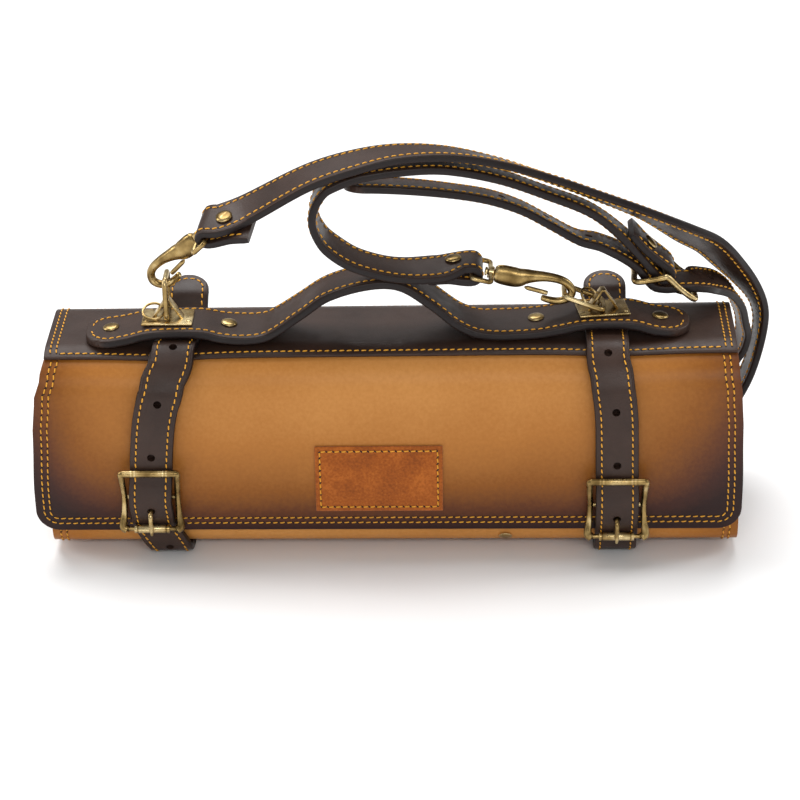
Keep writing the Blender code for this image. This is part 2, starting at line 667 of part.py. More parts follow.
# Place as a share of the half length, lift over a buckle strap, lift of the arch, half width
HANDLE_ROWS = [
    (-1.00, 0.0, 0.0, 0.97), (-0.92, 0.05, 0.0, 0.97), (-0.86, 0.4, 0.0, 0.96), (-0.79, 1.0, 0.0, 0.94),
    (-0.70, 1.1, 0.0, 0.92), (-0.61, 1.0, 0.0, 0.94), (-0.55, 0.45, 0.0, 0.98), (-0.49, 0.2, 0.0, 1.0),
    (-0.43, 0.1, 0.02, 0.97), (-0.385, 0.0, 0.10, 0.93), (-0.29, 0.0, 0.44, 0.86), (-0.19, 0.0, 0.80, 0.80),
    (-0.05, 0.0, 1.0, 0.77), (0.045, 0.0, 0.96, 0.77), (0.145, 0.0, 0.60, 0.80), (0.235, 0.0, 0.20, 0.87),
    (0.30, 0.05, 0.04, 0.94), (0.38, 0.1, 0.0, 1.0), (0.50, 0.3, 0.0, 1.0), (0.57, 0.7, 0.0, 0.97),
    (0.64, 1.15, 0.0, 0.94), (0.72, 1.2, 0.0, 0.92), (0.81, 1.1, 0.0, 0.95), (0.88, 0.35, 0.0, 0.97),
    (0.94, 0.05, 0.0, 0.97), (1.00, 0.0, 0.0, 0.97),
]
RIVET_SHARES = (-0.917, -0.525, 0.493, 0.904)


def handle_middle(x):
    return HANDLE_CENTRE_Y + HANDLE_YAW * x


def handle_route():
    across = Vector((-HANDLE_YAW, 1, 0))
    rows = []
    for share, strap_lift, arch_lift, _ in HANDLE_ROWS:
        x = share * HANDLE_HALF_LENGTH
        low = roll_top(x) + PANEL_TOP + TOUCH_GAP
        low += strap_lift * (STRAP_LEATHER + TOUCH_GAP) + arch_lift * HANDLE_ARCH
        rows.append((Vector((x, handle_middle(x), low + HANDLE_LEATHER / 2)), across))
    return smooth_route(rows, 14 * MM, 9)


HANDLE_ROUTE = handle_route()


def handle_top(x):
    """Height of the handle's upper face at a place along it."""
    for (p, _), (q, _) in zip(HANDLE_ROUTE, HANDLE_ROUTE[1:]):
        if p.x <= x <= q.x:
            return p.z + (q.z - p.z) * (x - p.x) / (q.x - p.x) + HANDLE_LEATHER / 2
    return HANDLE_ROUTE[0][0].z + HANDLE_LEATHER / 2


def make_handle():
    def wide_at(here):
        return HANDLE_HALF_WIDTH * read_rows(HANDLE_ROWS, here.x / HANDLE_HALF_LENGTH, 3)
    band("carry_handle", HANDLE_ROUTE, HANDLE_HALF_WIDTH * 2, HANDLE_LEATHER, MAT_DARK,
         start_round=HANDLE_HALF_WIDTH * 0.8, end_round=HANDLE_HALF_WIDTH * 0.8, wide_at=wide_at)
    for number, share in enumerate(RIVET_SHARES, 1):
        x = share * HANDLE_HALF_LENGTH
        slope = (handle_top(x + 4 * MM) - handle_top(x - 4 * MM)) / (8 * MM)
        seat = Vector((x, handle_middle(x), handle_top(x)))
        rivet(f"handle_rivet_{number}", axes(seat, Vector((1, 0, slope)), Vector((0, 0, 1))))


def rivet(name, seat):
    """A low domed cap whose underside lies a touch above the leather."""
    profile = [(0, 1.0), (0.55, 0.9), (0.88, 0.6), (1.0, 0.2), (1.0, 0.0), (0, 0.0)]
    rows = [(r * RIVET_RADIUS, z * RIVET_HEIGHT) for r, z in profile]
    return turned(name, rows, 12, MAT_BRASS, seat @ Matrix.Translation((0, 0, 1.5 * TOUCH_GAP)))


# Saddles, rings and snap hooks

def mount_frame(x, yaw):
    """Origin in the middle of a saddle's underside, on the handle."""
    half = PLATE_LENGTH / 2
    seat = max(handle_top(x + half * k / 4) for k in range(-4, 5)) + TOUCH_GAP
    return Matrix.Translation((x, handle_middle(x), seat)) @ Matrix.Rotation(math.radians(yaw), 4, "Z")


def make_mount(side, frame):
    work = bmesh.new()
    bmesh.ops.create_cube(work, size=1.0)
    bmesh.ops.scale(work, vec=(PLATE_LENGTH, PLATE_DEPTH, PLATE_THICKNESS), verts=work.verts)
    bmesh.ops.translate(work, vec=(0, 0, PLATE_THICKNESS / 2), verts=work.verts)
    mesh = bpy.data.meshes.new("saddle")
    work.to_mesh(mesh)
    work.free()
    plate = place(mesh, f"ring_mount_{side}", MAT_BRASS, frame)
    # the tent is a strip bent over the rings, its feet let into the plate
    half, high, thick = TENT_WIDTH / 2, PLATE_THICKNESS + TENT_HEIGHT, TENT_SHEET
    foot = PLATE_THICKNESS * 0.4
    outer = [(-half, foot), (-half * 0.12, high), (half * 0.12, high), (half, foot)]
    inner = [(half - thick * 1.5, foot), (half * 0.05, high - thick), (-half * 0.05, high - thick),
             (-half + thick * 1.5, foot)]
    outline = outer + inner
    count = len(outline)
    points = [(x, y, z) for y in (-TENT_DEPTH / 2, TENT_DEPTH / 2) for x, z in outline]
    faces = [tuple(range(count)), tuple(range(2 * count - 1, count - 1, -1))]
    faces += [(k, (k + 1) % count, count + (k + 1) % count, count + k) for k in range(count)]
    boolean(plate, tool(mesh_of("tent", points, faces), f"tent_{side}", frame), "UNION")


def ring_bar(frame):
    """The middle of a square ring's lower bar, inside the tent."""
    return frame @ Vector((0, 0, PLATE_THICKNESS + TOUCH_GAP + RING_WIRE))


def make_square_ring(side, start, lean, across):
    """A ring of two bars and two legs, from the tent to the snap hook."""
    matrix = axes(start, lean, lean.cross(across))
    half, length, bend = RING_WIDTH / 2, RING_LENGTH, 3.2 * MM
    points = []
    for cx, cy, quarter in ((length - bend, half - bend, 0), (bend, half - bend, 1),
                            (bend, -half + bend, 2), (length - bend, -half + bend, 3)):
        for k in range(3):
            turn = (quarter + k / 2) * math.pi / 2
            points.append((cx + bend * math.cos(turn), cy + bend * math.sin(turn), 0))
    place(wire(f"square_ring_{side}", points, RING_WIRE, True), f"square_ring_{side}", MAT_BRASS, matrix)


def make_round_ring(side, frame, middle, tilt, lean):
    """A small ring round the left wall of the tent; middle is in shares of the tent."""
    middle = frame @ Vector((middle[0] * TENT_WIDTH, middle[1] * TENT_DEPTH,
                             PLATE_THICKNESS + middle[2] * TENT_HEIGHT))
    turn = frame.to_3x3().to_4x4() @ Matrix.Rotation(math.radians(tilt), 4, "X") @ Matrix.Rotation(
        math.radians(lean), 4, "Y")
    points = []
    for k in range(14):
        angle = 2 * math.pi * k / 14
        points.append((ROUND_RING_RADIUS * math.cos(angle), ROUND_RING_RADIUS * math.sin(angle), 0))
    place(wire(f"round_ring_{side}", points, ROUND_RING_WIRE, True), f"round_ring_{side}", MAT_BRASS,
          Matrix.Translation(middle) @ turn)


# Snap hook: place along it, off its axis, half height and half thickness.
# Lengths are shares of HOOK_LENGTH, thicknesses shares of HOOK_THICKNESS.
HOOK_ROWS = [
    (0.000, 0.000, 0.112, 0.44), (0.080, 0.000, 0.127, 0.50), (0.245, 0.004, 0.125, 0.50),
    (0.345, 0.040, 0.098, 0.47), (0.450, 0.068, 0.075, 0.42), (0.590, 0.094, 0.059, 0.37),
    (0.755, 0.096, 0.053, 0.34), (0.870, 0.058, 0.051, 0.32), (0.940, -0.030, 0.051, 0.31),
    (0.905, -0.127, 0.049, 0.31), (0.805, -0.184, 0.045, 0.31), (0.685, -0.193, 0.041, 0.30),
    (0.605, -0.184, 0.036, 0.28),
]
GATE_ROOT = (0.355, -0.098)
GATE_TIP = (0.655, -0.112)
GATE_HALF = 0.028
SEAT_BEND = (0.845, -0.035)    # a ring bar that pulls into the bend
SEAT_NOSE = (0.755, -0.088)    # a ring bar that hangs on the nose


def make_hook(side, frame, wide):
    size, thick = HOOK_LENGTH, HOOK_THICKNESS
    hub_mid = -(0.4 * MM + 1.5 * MM + 1.75 * MM)
    back = hub_mid - 1.75 * MM
    # a headed post turns in the hub, then the body sweeps round to the nose
    stations = [(back - 1.8 * MM, 0, 1.9 * MM, 1.9 * MM), (back - 1.5 * MM, 0, 2.6 * MM, 2.6 * MM),
                (back - 0.6 * MM, 0, 2.6 * MM, 2.6 * MM), (back - 0.35 * MM, 0, HOOK_POST, HOOK_POST),
                (-1.6 * MM, 0, HOOK_POST, HOOK_POST), (-1.25 * MM, 0, 0.085 * size, 0.38 * thick)]
    stations += [(u * size, v * size, h * size, t * thick) for u, v, h, t in HOOK_ROWS]
    points, faces, sides = [], [], 8
    for i, (u, v, high, deep) in enumerate(stations):
        before, after = stations[max(i - 1, 0)], stations[min(i + 1, len(stations) - 1)]
        along = Vector((after[0] - before[0], 0, after[1] - before[1])).normalized()
        normal = Vector((-along.z, 0, along.x))
        for k in range(sides):
            angle = 2 * math.pi * (k + 0.5) / sides
            points.append(Vector((u, 0, v)) + normal * (high * 1.04 * math.sin(angle))
                          + Vector((0, 1, 0)) * (deep * 1.04 * math.cos(angle)))
    for i in range(len(stations) - 1):
        a, b = i * sides, (i + 1) * sides
        faces += [(a + k, a + (k + 1) % sides, b + (k + 1) % sides, b + k) for k in range(sides)]
    faces += [tuple(range(sides)), tuple(range(len(points) - sides, len(points)))]
    hook = place(mesh_of("snap_hook", points, faces, smooth=True), f"snap_hook_{side}", MAT_BRASS, frame)

    # the sprung gate closes the throat against the inside of the nose
    root = Vector((GATE_ROOT[0] * size, 0, GATE_ROOT[1] * size))
    tip = Vector((GATE_TIP[0] * size, 0, GATE_TIP[1] * size))
    half = GATE_HALF * size
    rows = [(0, 0, 0, 0.55), (0.6 * MM, 0, 0, 1.0), ((tip - root).length - 0.6 * MM, 0, 0, 1.0),
            ((tip - root).length, 0, 0, 0.7)]
    gate = thick_wire("snap_gate", rows, half, closed=False)
    gate_frame = frame @ axes(root, tip - root, Vector((0, 0, 1)))
    place(gate, f"snap_gate_{side}", MAT_BRASS, gate_frame)

    # the swivel loop: a wire rectangle with a bored hub in its front bar
    across = (frame.to_3x3().inverted() @ wide).normalized()
    loop_frame = axes(Vector((hub_mid, 0, 0)), Vector((1, 0, 0)), Vector((1, 0, 0)).cross(across))
    reach = SHOULDER_WIDTH / 2 + 2 * TOUCH_GAP + LOOP_WIRE
    bend = 2 * MM
    outline = []
    for cx, cy, quarter in ((-bend, reach - bend, 0), (-LOOP_LEG + bend, reach - bend, 1),
                            (-LOOP_LEG + bend, -reach + bend, 2), (-bend, -reach + bend, 3)):
        for k in range(3):
            turn = (quarter + k / 2) * math.pi / 2
            outline.append((cx + bend * math.cos(turn), cy + bend * math.sin(turn), 0))
    loop = place(wire("swivel_loop", outline, LOOP_WIRE, True), f"swivel_loop_{side}", MAT_BRASS,
                 frame @ loop_frame)
    lay = Matrix.Rotation(math.pi / 2, 4, "Y")
    hub = tool(rod(HOOK_HUB, 3.5 * MM, 12, lay), f"hub_{side}", frame @ loop_frame)
    bore = tool(rod(HOOK_POST + TOUCH_GAP, 9 * MM, 12, lay), f"hub_bore_{side}", frame @ loop_frame)
    boolean(loop, hub, "UNION")
    boolean(loop, bore, "DIFFERENCE")
    return frame @ Vector((hub_mid - LOOP_LEG, 0, 0))


def hook_frame(seat, seat_share, heading, spine):
    """Frame of a snap hook whose throat holds a ring bar at seat."""
    turned_to = axes(Vector((0, 0, 0)), heading, spine)
    return Matrix.Translation(seat - turned_to.to_3x3() @ Vector(
        (seat_share[0] * HOOK_LENGTH, 0, seat_share[1] * HOOK_LENGTH))) @ turned_to


# Shoulder strap. Routes are shares: along of HALF_LENGTH, back of HALF_DEPTH, and up
# of SHOULDER_RISE above the roll's top or, below it, of the roll's top height.
# The last two columns turn the strap's width: yaw and rise in degrees.
LONG_OVER = [
    (-0.377, -0.60, 0.765, 7, 14), (-0.208, -0.51, 0.92, 7, 8), (-0.09, -0.445, 0.986, 7, 5),
    (0.031, -0.355, 1.019, 8, -2), (0.168, -0.245, 1.003, 10, -8), (0.309, -0.11, 0.932, 12, -14),
    (0.448, 0.045, 0.823, 14, -18), (0.592, 0.235, 0.690, 15, -21), (0.733, 0.43, 0.552, 18, -25),
    (0.842, 0.61, 0.42, 24, -35), (0.913, 0.79, 0.321, 29, -35), (0.974, 0.985, 0.183, 29, -30),
    (1.028, 1.156, 0.04, 25, -20), (1.066, 1.28, -0.085, 15, -10), (1.078, 1.35, -0.203, 6, -3),
    (1.068, 1.39, -0.346, 2, 0), (1.045, 1.42, -0.486, 0, 0), (1.0, 1.44, -0.63, 0, 0),
    (0.934, 1.44, -0.766, 0, 0), (0.868, 1.44, -0.86, 0, 0), (0.80, 1.44, -0.894, 0, 0),
    (0.74, 1.44, -0.845, 0, 0), (0.719, 1.44, -0.754, 0, 0), (0.745, 1.44, -0.667, 0, 0),
    (0.807, 1.44, -0.615, 0, 0), (0.877, 1.44, -0.569, 0, 0), (0.943, 1.43, -0.494, 0, 0),
    (0.995, 1.41, -0.403, 0, 0), (1.025, 1.37, -0.30, 4, 2), (1.028, 1.30, -0.20, 11, 12),
    (1.012, 1.135, -0.10, 19, 23), (0.99, 0.97, 0.006, 27, 23), (0.952, 0.77, 0.103, 28, 15),
    (0.902, 0.56, 0.163, 18, 7),
]
LONG_END = [
    (0.594, 0.28, 0.430, 6, -4), (0.533, 0.255, 0.463, 8, -7), (0.453, 0.21, 0.554, 9, -8),
    (0.373, 0.145, 0.648, 9, -8), (0.292, 0.078, 0.713, 9, -8), (0.212, 0.01, 0.754, 9, -9),
    (0.094, -0.078, 0.796, 8, -8), (-0.026, -0.144, 0.822, 7, -7), (-0.113, -0.19, 0.831, 6, -6),
]
SHORT_RUN = [
    (0.1415, -0.267, 0.380, 12, 8), (0.033, -0.378, 0.394, 10, 6), (-0.066, -0.444, 0.45, 6, 6),
    (-0.127, -0.489, 0.52, 2, 8), (-0.1745, -0.50, 0.607, 0, 5), (-0.196, -0.50, 0.730, 0, 0),
    (-0.167, -0.473, 0.855, 0, 0), (-0.12, -0.433, 0.903, 4, -2), (-0.0566, -0.389, 0.933, 8, -3),
    (0.0755, -0.278, 0.946, 9, -4), (0.17, -0.189, 0.928, 10, -5), (0.309, -0.053, 0.851, 10, -7),
    (0.443, 0.102, 0.7345, 10, -8), (0.552, 0.213, 0.635, 9, -6), (0.618, 0.289, 0.54, 7, -3),
    (0.689, 0.356, 0.405, 3, 0),
]
SHOULDER_BUCKLE_AT = (0.778, 0.378, 0.269)


def in_space(along, back, up):
    """A place from its shares of the roll and of the strap's rise."""
    top = ROLL_BASE + ROLL_HEIGHT
    z = top + up * SHOULDER_RISE if up >= 0 else top * (1 + up)
    return Vector((along * HALF_LENGTH, back * HALF_DEPTH, z))


def across_of(yaw, rise):
    """The strap's width direction, front edge to back edge."""
    y, r = math.radians(yaw), math.radians(rise)
    return Vector((-math.sin(y) * math.cos(r), math.cos(y) * math.cos(r), math.sin(r)))


def routed(rows):
    return [(in_space(*row[:3]), across_of(*row[3:])) for row in rows]


def fold(bar, along, up, wide, bar_radius, tail, lift):
    """Rows of a strap end folded round a bar: tail first, then the run that leaves along."""
    bend = bar_radius + TOUCH_GAP + SHOULDER_LEATHER / 2
    under = bend - SHOULDER_LEATHER - lift
    places = [(tail, under), (tail * 0.55, under - 0.3 * MM), (bend * 1.1, -bend * 0.9), (0, -bend),
              (-0.71 * bend, -0.71 * bend), (-bend, 0), (-0.71 * bend, 0.71 * bend), (0, bend), (bend * 1.6, bend)]
    return [(bar + along * a + up * b, wide) for a, b in places]


def square_to(direction, other):
    """The part of a direction that stands square to another."""
    other = other.normalized()
    return (direction - other * direction.dot(other)).normalized()


def aim(bar, first, wide):
    """Directions along and up at a fold whose run passes through a place."""
    toward = square_to(first - bar, wide)
    up = square_to(square_to(Vector((0, 0, 1)), wide), toward)
    lean = math.asin((LOOP_WIRE + TOUCH_GAP + SHOULDER_LEATHER / 2) / (first - bar).dot(toward))
    return toward * math.cos(lean) - up * math.sin(lean), up * math.cos(lean) + toward * math.sin(lean)


def make_shoulder_strap(left_bar, left_wide, right_bar, right_wide):
    centre = in_space(*SHOULDER_BUCKLE_AT)
    half = SHOULDER_BUCKLE_LENGTH / 2 - SHOULDER_BUCKLE_WIRE
    left_end, right_end = Vector((-half, 0, -2.4 * MM)), Vector((half, 0, -14 * MM))
    level = Vector((0, 1, 0))
    bend = LOOP_WIRE + TOUCH_GAP + SHOULDER_LEATHER / 2
    clear = SHOULDER_BUCKLE_WIRE + TOUCH_GAP + SHOULDER_LEATHER / 2
    under = bend + SHOULDER_LEATHER + 2 * TOUCH_GAP

    # the buckle: two bent rails, a bar at each end and one in the middle
    reach = SHOULDER_BUCKLE_WIDTH / 2 - SHOULDER_BUCKLE_WIRE
    rail = [(left_end, 1.0), (left_end * 0.5 + Vector((0, 0, -0.3 * MM)), 0.95), (Vector((-1.5 * MM, 0, 0)), 1.1),
            (Vector((1.5 * MM, 0, 0)), 1.1), (right_end * 0.5, 0.95), (right_end, 1.0)]
    rows = [(*(p + Vector((0, -reach, 0))), r) for p, r in rail]
    rows += [(*(p + Vector((0, reach, 0))), r) for p, r in reversed(rail)]
    buckle = place(thick_wire("shoulder_buckle", rows, SHOULDER_BUCKLE_WIRE), "shoulder_buckle", MAT_BRASS,
                   Matrix.Translation(centre))
    bar = rod(LOOP_WIRE, 2 * reach, 8, Matrix.Rotation(math.pi / 2, 4, "X"))
    boolean(buckle, tool(bar, "shoulder_bar", Matrix.Translation(centre)), "UNION")

    # long strap: hook, arch, turn behind the roll, back through the buckle, free end
    first = in_space(*LONG_OVER[0][:3])
    heading, up = aim(left_bar, first, left_wide)
    rows = fold(left_bar, heading, up, left_wide, LOOP_WIRE, FOLD_TAIL, 0.6 * MM)
    left_run = rows[-2][0]
    rivet_left = (left_run + heading * 10.5 * MM, heading, up)
    rows += routed(LONG_OVER)
    rows += [(centre + right_end + Vector((1.5 * MM, 0.8 * MM, clear + 0.4 * MM)), across_of(5, 0)),
             (centre + Vector((8 * MM, 0, -under + 0.4 * MM)), level), (centre + Vector((0, 0, -under)), level),
             (centre + Vector((-7 * MM, 0, -under + 1.9 * MM)), level),
             (centre + left_end + Vector((0.5 * MM, 0, clear + 2.8 * MM)), level)]
    rows += routed(LONG_END)
    route = smooth_route(rows, 17 * MM, 13)
    long_strap = band("shoulder_strap_long", route, SHOULDER_WIDTH, SHOULDER_LEATHER, MAT_DARK,
                      end_round=SHOULDER_WIDTH / 2)
    pierced = distance_to(route, centre + Vector((3 * MM, 0, -under)))
    punch(long_strap, route, [pierced + k * SHOULDER_HOLE_PITCH for k in range(-1, 5)], HOLE_RADIUS)

    # the prong goes down through the hole and lies under the far end bar
    low = -under - SHOULDER_LEATHER / 2 - TOUCH_GAP - PRONG_RADIUS
    tip = right_end + Vector((1 * MM, 0, -SHOULDER_BUCKLE_WIRE - TOUCH_GAP - PRONG_RADIUS))
    prong_rows = [(3 * MM, 0, -under + SHOULDER_LEATHER * 0.55, 0.85), (3.2 * MM, 0, -under, 1.0),
                  (4.5 * MM, 0, low, 1.0), (half * 0.6, 0, (low * 0.5 + tip.z * 0.5) - 1.0 * MM, 1.0), (*tip, 0.7)]
    place(thick_wire("shoulder_prong", prong_rows, PRONG_RADIUS, closed=False), "shoulder_prong", MAT_BRASS,
          Matrix.Translation(centre))

    # short strap: hook, lower run over the handle, loop, upper run, folded round the middle bar
    first = in_space(*SHORT_RUN[0][:3])
    heading, up = aim(right_bar, first, right_wide)
    rows = fold(right_bar, heading, up, right_wide, LOOP_WIRE, FOLD_TAIL, 0.6 * MM)
    rivet_right = (rows[-2][0] + heading * 10.5 * MM, heading, up)
    rows += routed(SHORT_RUN)
    last = in_space(*SHORT_RUN[-1][:3])
    leaving = square_to(last - (centre + Vector((-3.5 * MM, 0, -2.5 * MM))), level)
    lower = square_to(leaving.cross(level), leaving)
    if lower.z > 0:
        lower = -lower
    rows += reversed(fold(centre, leaving, lower, level, LOOP_WIRE, SHORT_TAIL, 0.6 * MM))
    route = smooth_route(rows, 17 * MM, 13)
    band("shoulder_strap_short", route, SHOULDER_WIDTH, SHOULDER_LEATHER, MAT_DARK)
    tail_at = centre + leaving * (SHORT_TAIL * 0.55) - lower * (SHOULDER_LEATHER + 0.9 * MM - bend)

    for name, (spot, along, out) in (("strap_rivet_left", rivet_left), ("strap_rivet_right", rivet_right),
                                     ("strap_rivet_buckle", (tail_at, leaving, -lower))):
        rivet(name, axes(spot + out * (SHOULDER_LEATHER / 2 + 0.4 * MM), along, out))


def make_edge_stud():
    """A small stud on the layer that shows below the flap."""
    place_at, face = section(7.55, STUD_X, -layer_inset(7.55) + TOUCH_GAP)
    rows = [(0, 0.8), (0.7, 0.65), (1.0, 0.25), (1.0, 0.0), (0, 0.0)]
    profile = [(r * STUD_RADIUS, z * 1.2 * MM) for r, z in rows]
    turned("edge_stud", profile, 10, MAT_BRASS, axes(place_at, Vector((1, 0, 0)), face))


def stand_in_the_middle():
    """Move everything so that the part stands centred on the origin."""
    bpy.context.view_layer.update()
    graph = bpy.context.evaluated_depsgraph_get()
    spots = []
    for obj in PARTS.objects:
        mesh = obj.evaluated_get(graph).to_mesh()
        spots += [obj.matrix_world @ v.co for v in mesh.vertices]
    low = Vector([min(p[k] for p in spots) for k in range(3)])
    high = Vector([max(p[k] for p in spots) for k in range(3)])
    shift = Matrix.Translation((-(low.x + high.x) / 2, -(low.y + high.y) / 2, 0))
    for obj in list(PARTS.objects) + list(CUTTERS.objects):
        obj.matrix_world = shift @ obj.matrix_world


make_roll_body()
make_top_panel()
make_name_patch()
make_edge_stud()
make_buckle("left", LEFT_STRAP_X, LEFT_SWAY, LEFT_BUCKLE_Z)
make_buckle("right", RIGHT_STRAP_X, RIGHT_SWAY, RIGHT_BUCKLE_Z)
make_handle()

left_mount = mount_frame(MOUNT_LEFT_X, 0.0)
right_mount = mount_frame(MOUNT_RIGHT_X, MOUNT_RIGHT_YAW)
make_mount("left", left_mount)
make_mount("right", right_mount)

# the left ring stands up into its hook, the right one lies toward the handle
left_start, right_start = ring_bar(left_mount), ring_bar(right_mount)
left_lean, right_lean = Vector((0, 0, 1)), Vector((-0.93, 0, 0.37)).normalized()
make_square_ring("left", left_start, left_lean, Vector((0, 1, 0)))
make_square_ring("right", right_start, right_lean, Vector((0, 1, 0)))
make_round_ring("left", left_mount, (-0.42, 0, 0.28), 22, 0)
make_round_ring("right", right_mount, (-0.365, 0.08, 0.57), 30, 30)

left_hook = hook_frame(left_start + left_lean * RING_LENGTH, SEAT_NOSE,
                       Vector((-0.624, 0.345, -0.701)), Vector((-0.72, 0, 0.64)))
right_hook = hook_frame(right_start + right_lean * RING_LENGTH, SEAT_BEND,
                        Vector((0.972, 0, -0.237)), Vector((0.237, 0, 0.972)))
left_wide, right_wide = Vector((0.17, 0.93, 0.32)).normalized(), Vector((0, 1, 0))
left_bar = make_hook("left", left_hook, left_wide)
right_bar = make_hook("right", right_hook, right_wide)
make_shoulder_strap(left_bar, left_wide, right_bar, right_wide)
stand_in_the_middle()
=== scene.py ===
# %% [markdown]
# # A chef's knife roll, dressed in leather, thread and brass
# The solids of this part are plain and faceted. They say how big each piece is and where it lies.
# This lesson keeps them as a fixed frame and lays a finer skin over each one: smooth leather with
# rounded edges, real stitches, needle holes, turned rivets and cast brass.
# The first line makes the frame's small library known, and the frame is loaded before anything else.

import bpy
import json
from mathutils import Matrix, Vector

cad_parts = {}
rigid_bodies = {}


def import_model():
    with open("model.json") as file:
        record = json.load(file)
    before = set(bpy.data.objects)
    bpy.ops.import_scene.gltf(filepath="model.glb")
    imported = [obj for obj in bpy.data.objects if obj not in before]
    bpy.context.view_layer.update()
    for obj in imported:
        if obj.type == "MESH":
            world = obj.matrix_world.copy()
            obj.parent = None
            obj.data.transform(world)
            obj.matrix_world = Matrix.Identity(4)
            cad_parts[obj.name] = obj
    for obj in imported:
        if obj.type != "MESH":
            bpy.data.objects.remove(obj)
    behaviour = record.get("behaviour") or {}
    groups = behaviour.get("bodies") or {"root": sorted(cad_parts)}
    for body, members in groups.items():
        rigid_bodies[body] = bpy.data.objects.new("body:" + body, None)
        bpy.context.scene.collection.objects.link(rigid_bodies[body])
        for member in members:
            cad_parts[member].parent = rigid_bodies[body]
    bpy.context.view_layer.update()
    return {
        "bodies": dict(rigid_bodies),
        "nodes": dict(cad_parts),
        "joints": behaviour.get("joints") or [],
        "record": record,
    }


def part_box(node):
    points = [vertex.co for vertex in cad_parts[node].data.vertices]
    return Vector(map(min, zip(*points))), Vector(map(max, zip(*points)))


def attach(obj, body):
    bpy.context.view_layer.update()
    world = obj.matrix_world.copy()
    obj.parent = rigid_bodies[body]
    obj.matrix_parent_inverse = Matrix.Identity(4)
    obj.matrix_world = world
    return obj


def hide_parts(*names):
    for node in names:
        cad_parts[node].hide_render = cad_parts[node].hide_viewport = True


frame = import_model()
print("solids:", len(frame["nodes"]))

# %% [markdown]
# Everything below is measured in metres, so a millimetre gets a name of its own.
# The roll is easiest to draw with its own middle at x = 0 and y = 0. The whole part, with its
# hanging strap, was centred differently, so one vector carries us from the roll's place to the
# part's. The left ring is a good mark to measure it by, because its place on the roll is known.

# %% Units, and the step from the roll to the part
import json
import math

import bmesh
import bpy
from mathutils import Matrix, Vector

MM = 0.001
ring_low, ring_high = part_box("square_ring_left")
TO_PART = Matrix.Translation(((ring_low[0] + ring_high[0]) / 2 + 130 * MM,
                              (ring_low[1] + ring_high[1]) / 2 + 11.6 * MM, 0))
print("roll to part:", [round(v * 1000, 2) for v in TO_PART.translation])

# %% [markdown]
# ## Finishes
# Leather is never one colour. Its grain is a net of tiny cells with pits between them, its dye sits
# unevenly, and its cut edges are rubbed dark. One helper builds that grain for each leather here:
# a cell pattern and a fine noise feed one bump, and a slow noise shifts the colour and the gloss.
# The pattern reads object coordinates, so it runs over every edge without a seam.

# %% Small helpers for materials
def srgb(*screen):
    """A screen colour from 0 to 255 as the linear values that Blender works in."""
    shares = [c / 255 for c in screen]
    return tuple(c / 12.92 if c <= 0.04045 else ((c + 0.055) / 1.055) ** 2.4 for c in shares)


def new_finish(name):
    """An empty material with its tree and shader, and a short way to add nodes."""
    mat = bpy.data.materials.new(name)
    mat.use_nodes = True
    tree = mat.node_tree
    shader = tree.nodes["Principled BSDF"]

    def add(kind, **values):
        node = tree.nodes.new(kind)
        for key, value in values.items():
            if hasattr(node, key):
                setattr(node, key, value)
            else:
                node.inputs[key.replace("_", " ")].default_value = value
        return node

    return mat, shader, add


def join(node, output, other, socket):
    """Carry one node's output to another node's socket."""
    node.id_data.links.new(node.outputs[output], other.inputs[socket])


def ramp(add, *stops):
    """A colour ramp with stops of place and colour."""
    node = add("ShaderNodeValToRGB")
    marks = node.color_ramp.elements
    while len(marks) < len(stops):
        marks.new(0.5)
    for mark, (at, colour) in zip(marks, stops):
        mark.position = at
        mark.color = (*colour, 1.0)
    return node


def grain(add, shader, cell, strength, depth):
    """Leather grain: small cells with pits, over a slower unevenness."""
    where = add("ShaderNodeTexCoord")
    cells = add("ShaderNodeTexVoronoi", feature="SMOOTH_F1", Scale=1 / cell)
    pits = add("ShaderNodeTexNoise", Scale=2.2 / cell, Detail=5.0, Roughness=0.6)
    warp = add("ShaderNodeTexNoise", Scale=60.0, Detail=3.0)
    both = add("ShaderNodeMath", operation="ADD")
    more = add("ShaderNodeMath", operation="ADD")
    bump = add("ShaderNodeBump", Strength=strength, Distance=depth)
    for node in (cells, pits, warp):
        join(where, "Object", node, "Vector")
    join(cells, "Distance", both, 0)
    join(pits, "Fac", both, 1)
    join(both, 0, more, 0)
    join(warp, "Fac", more, 1)
    join(more, 0, bump, "Height")
    join(bump, "Normal", shader, "Normal")
    return where
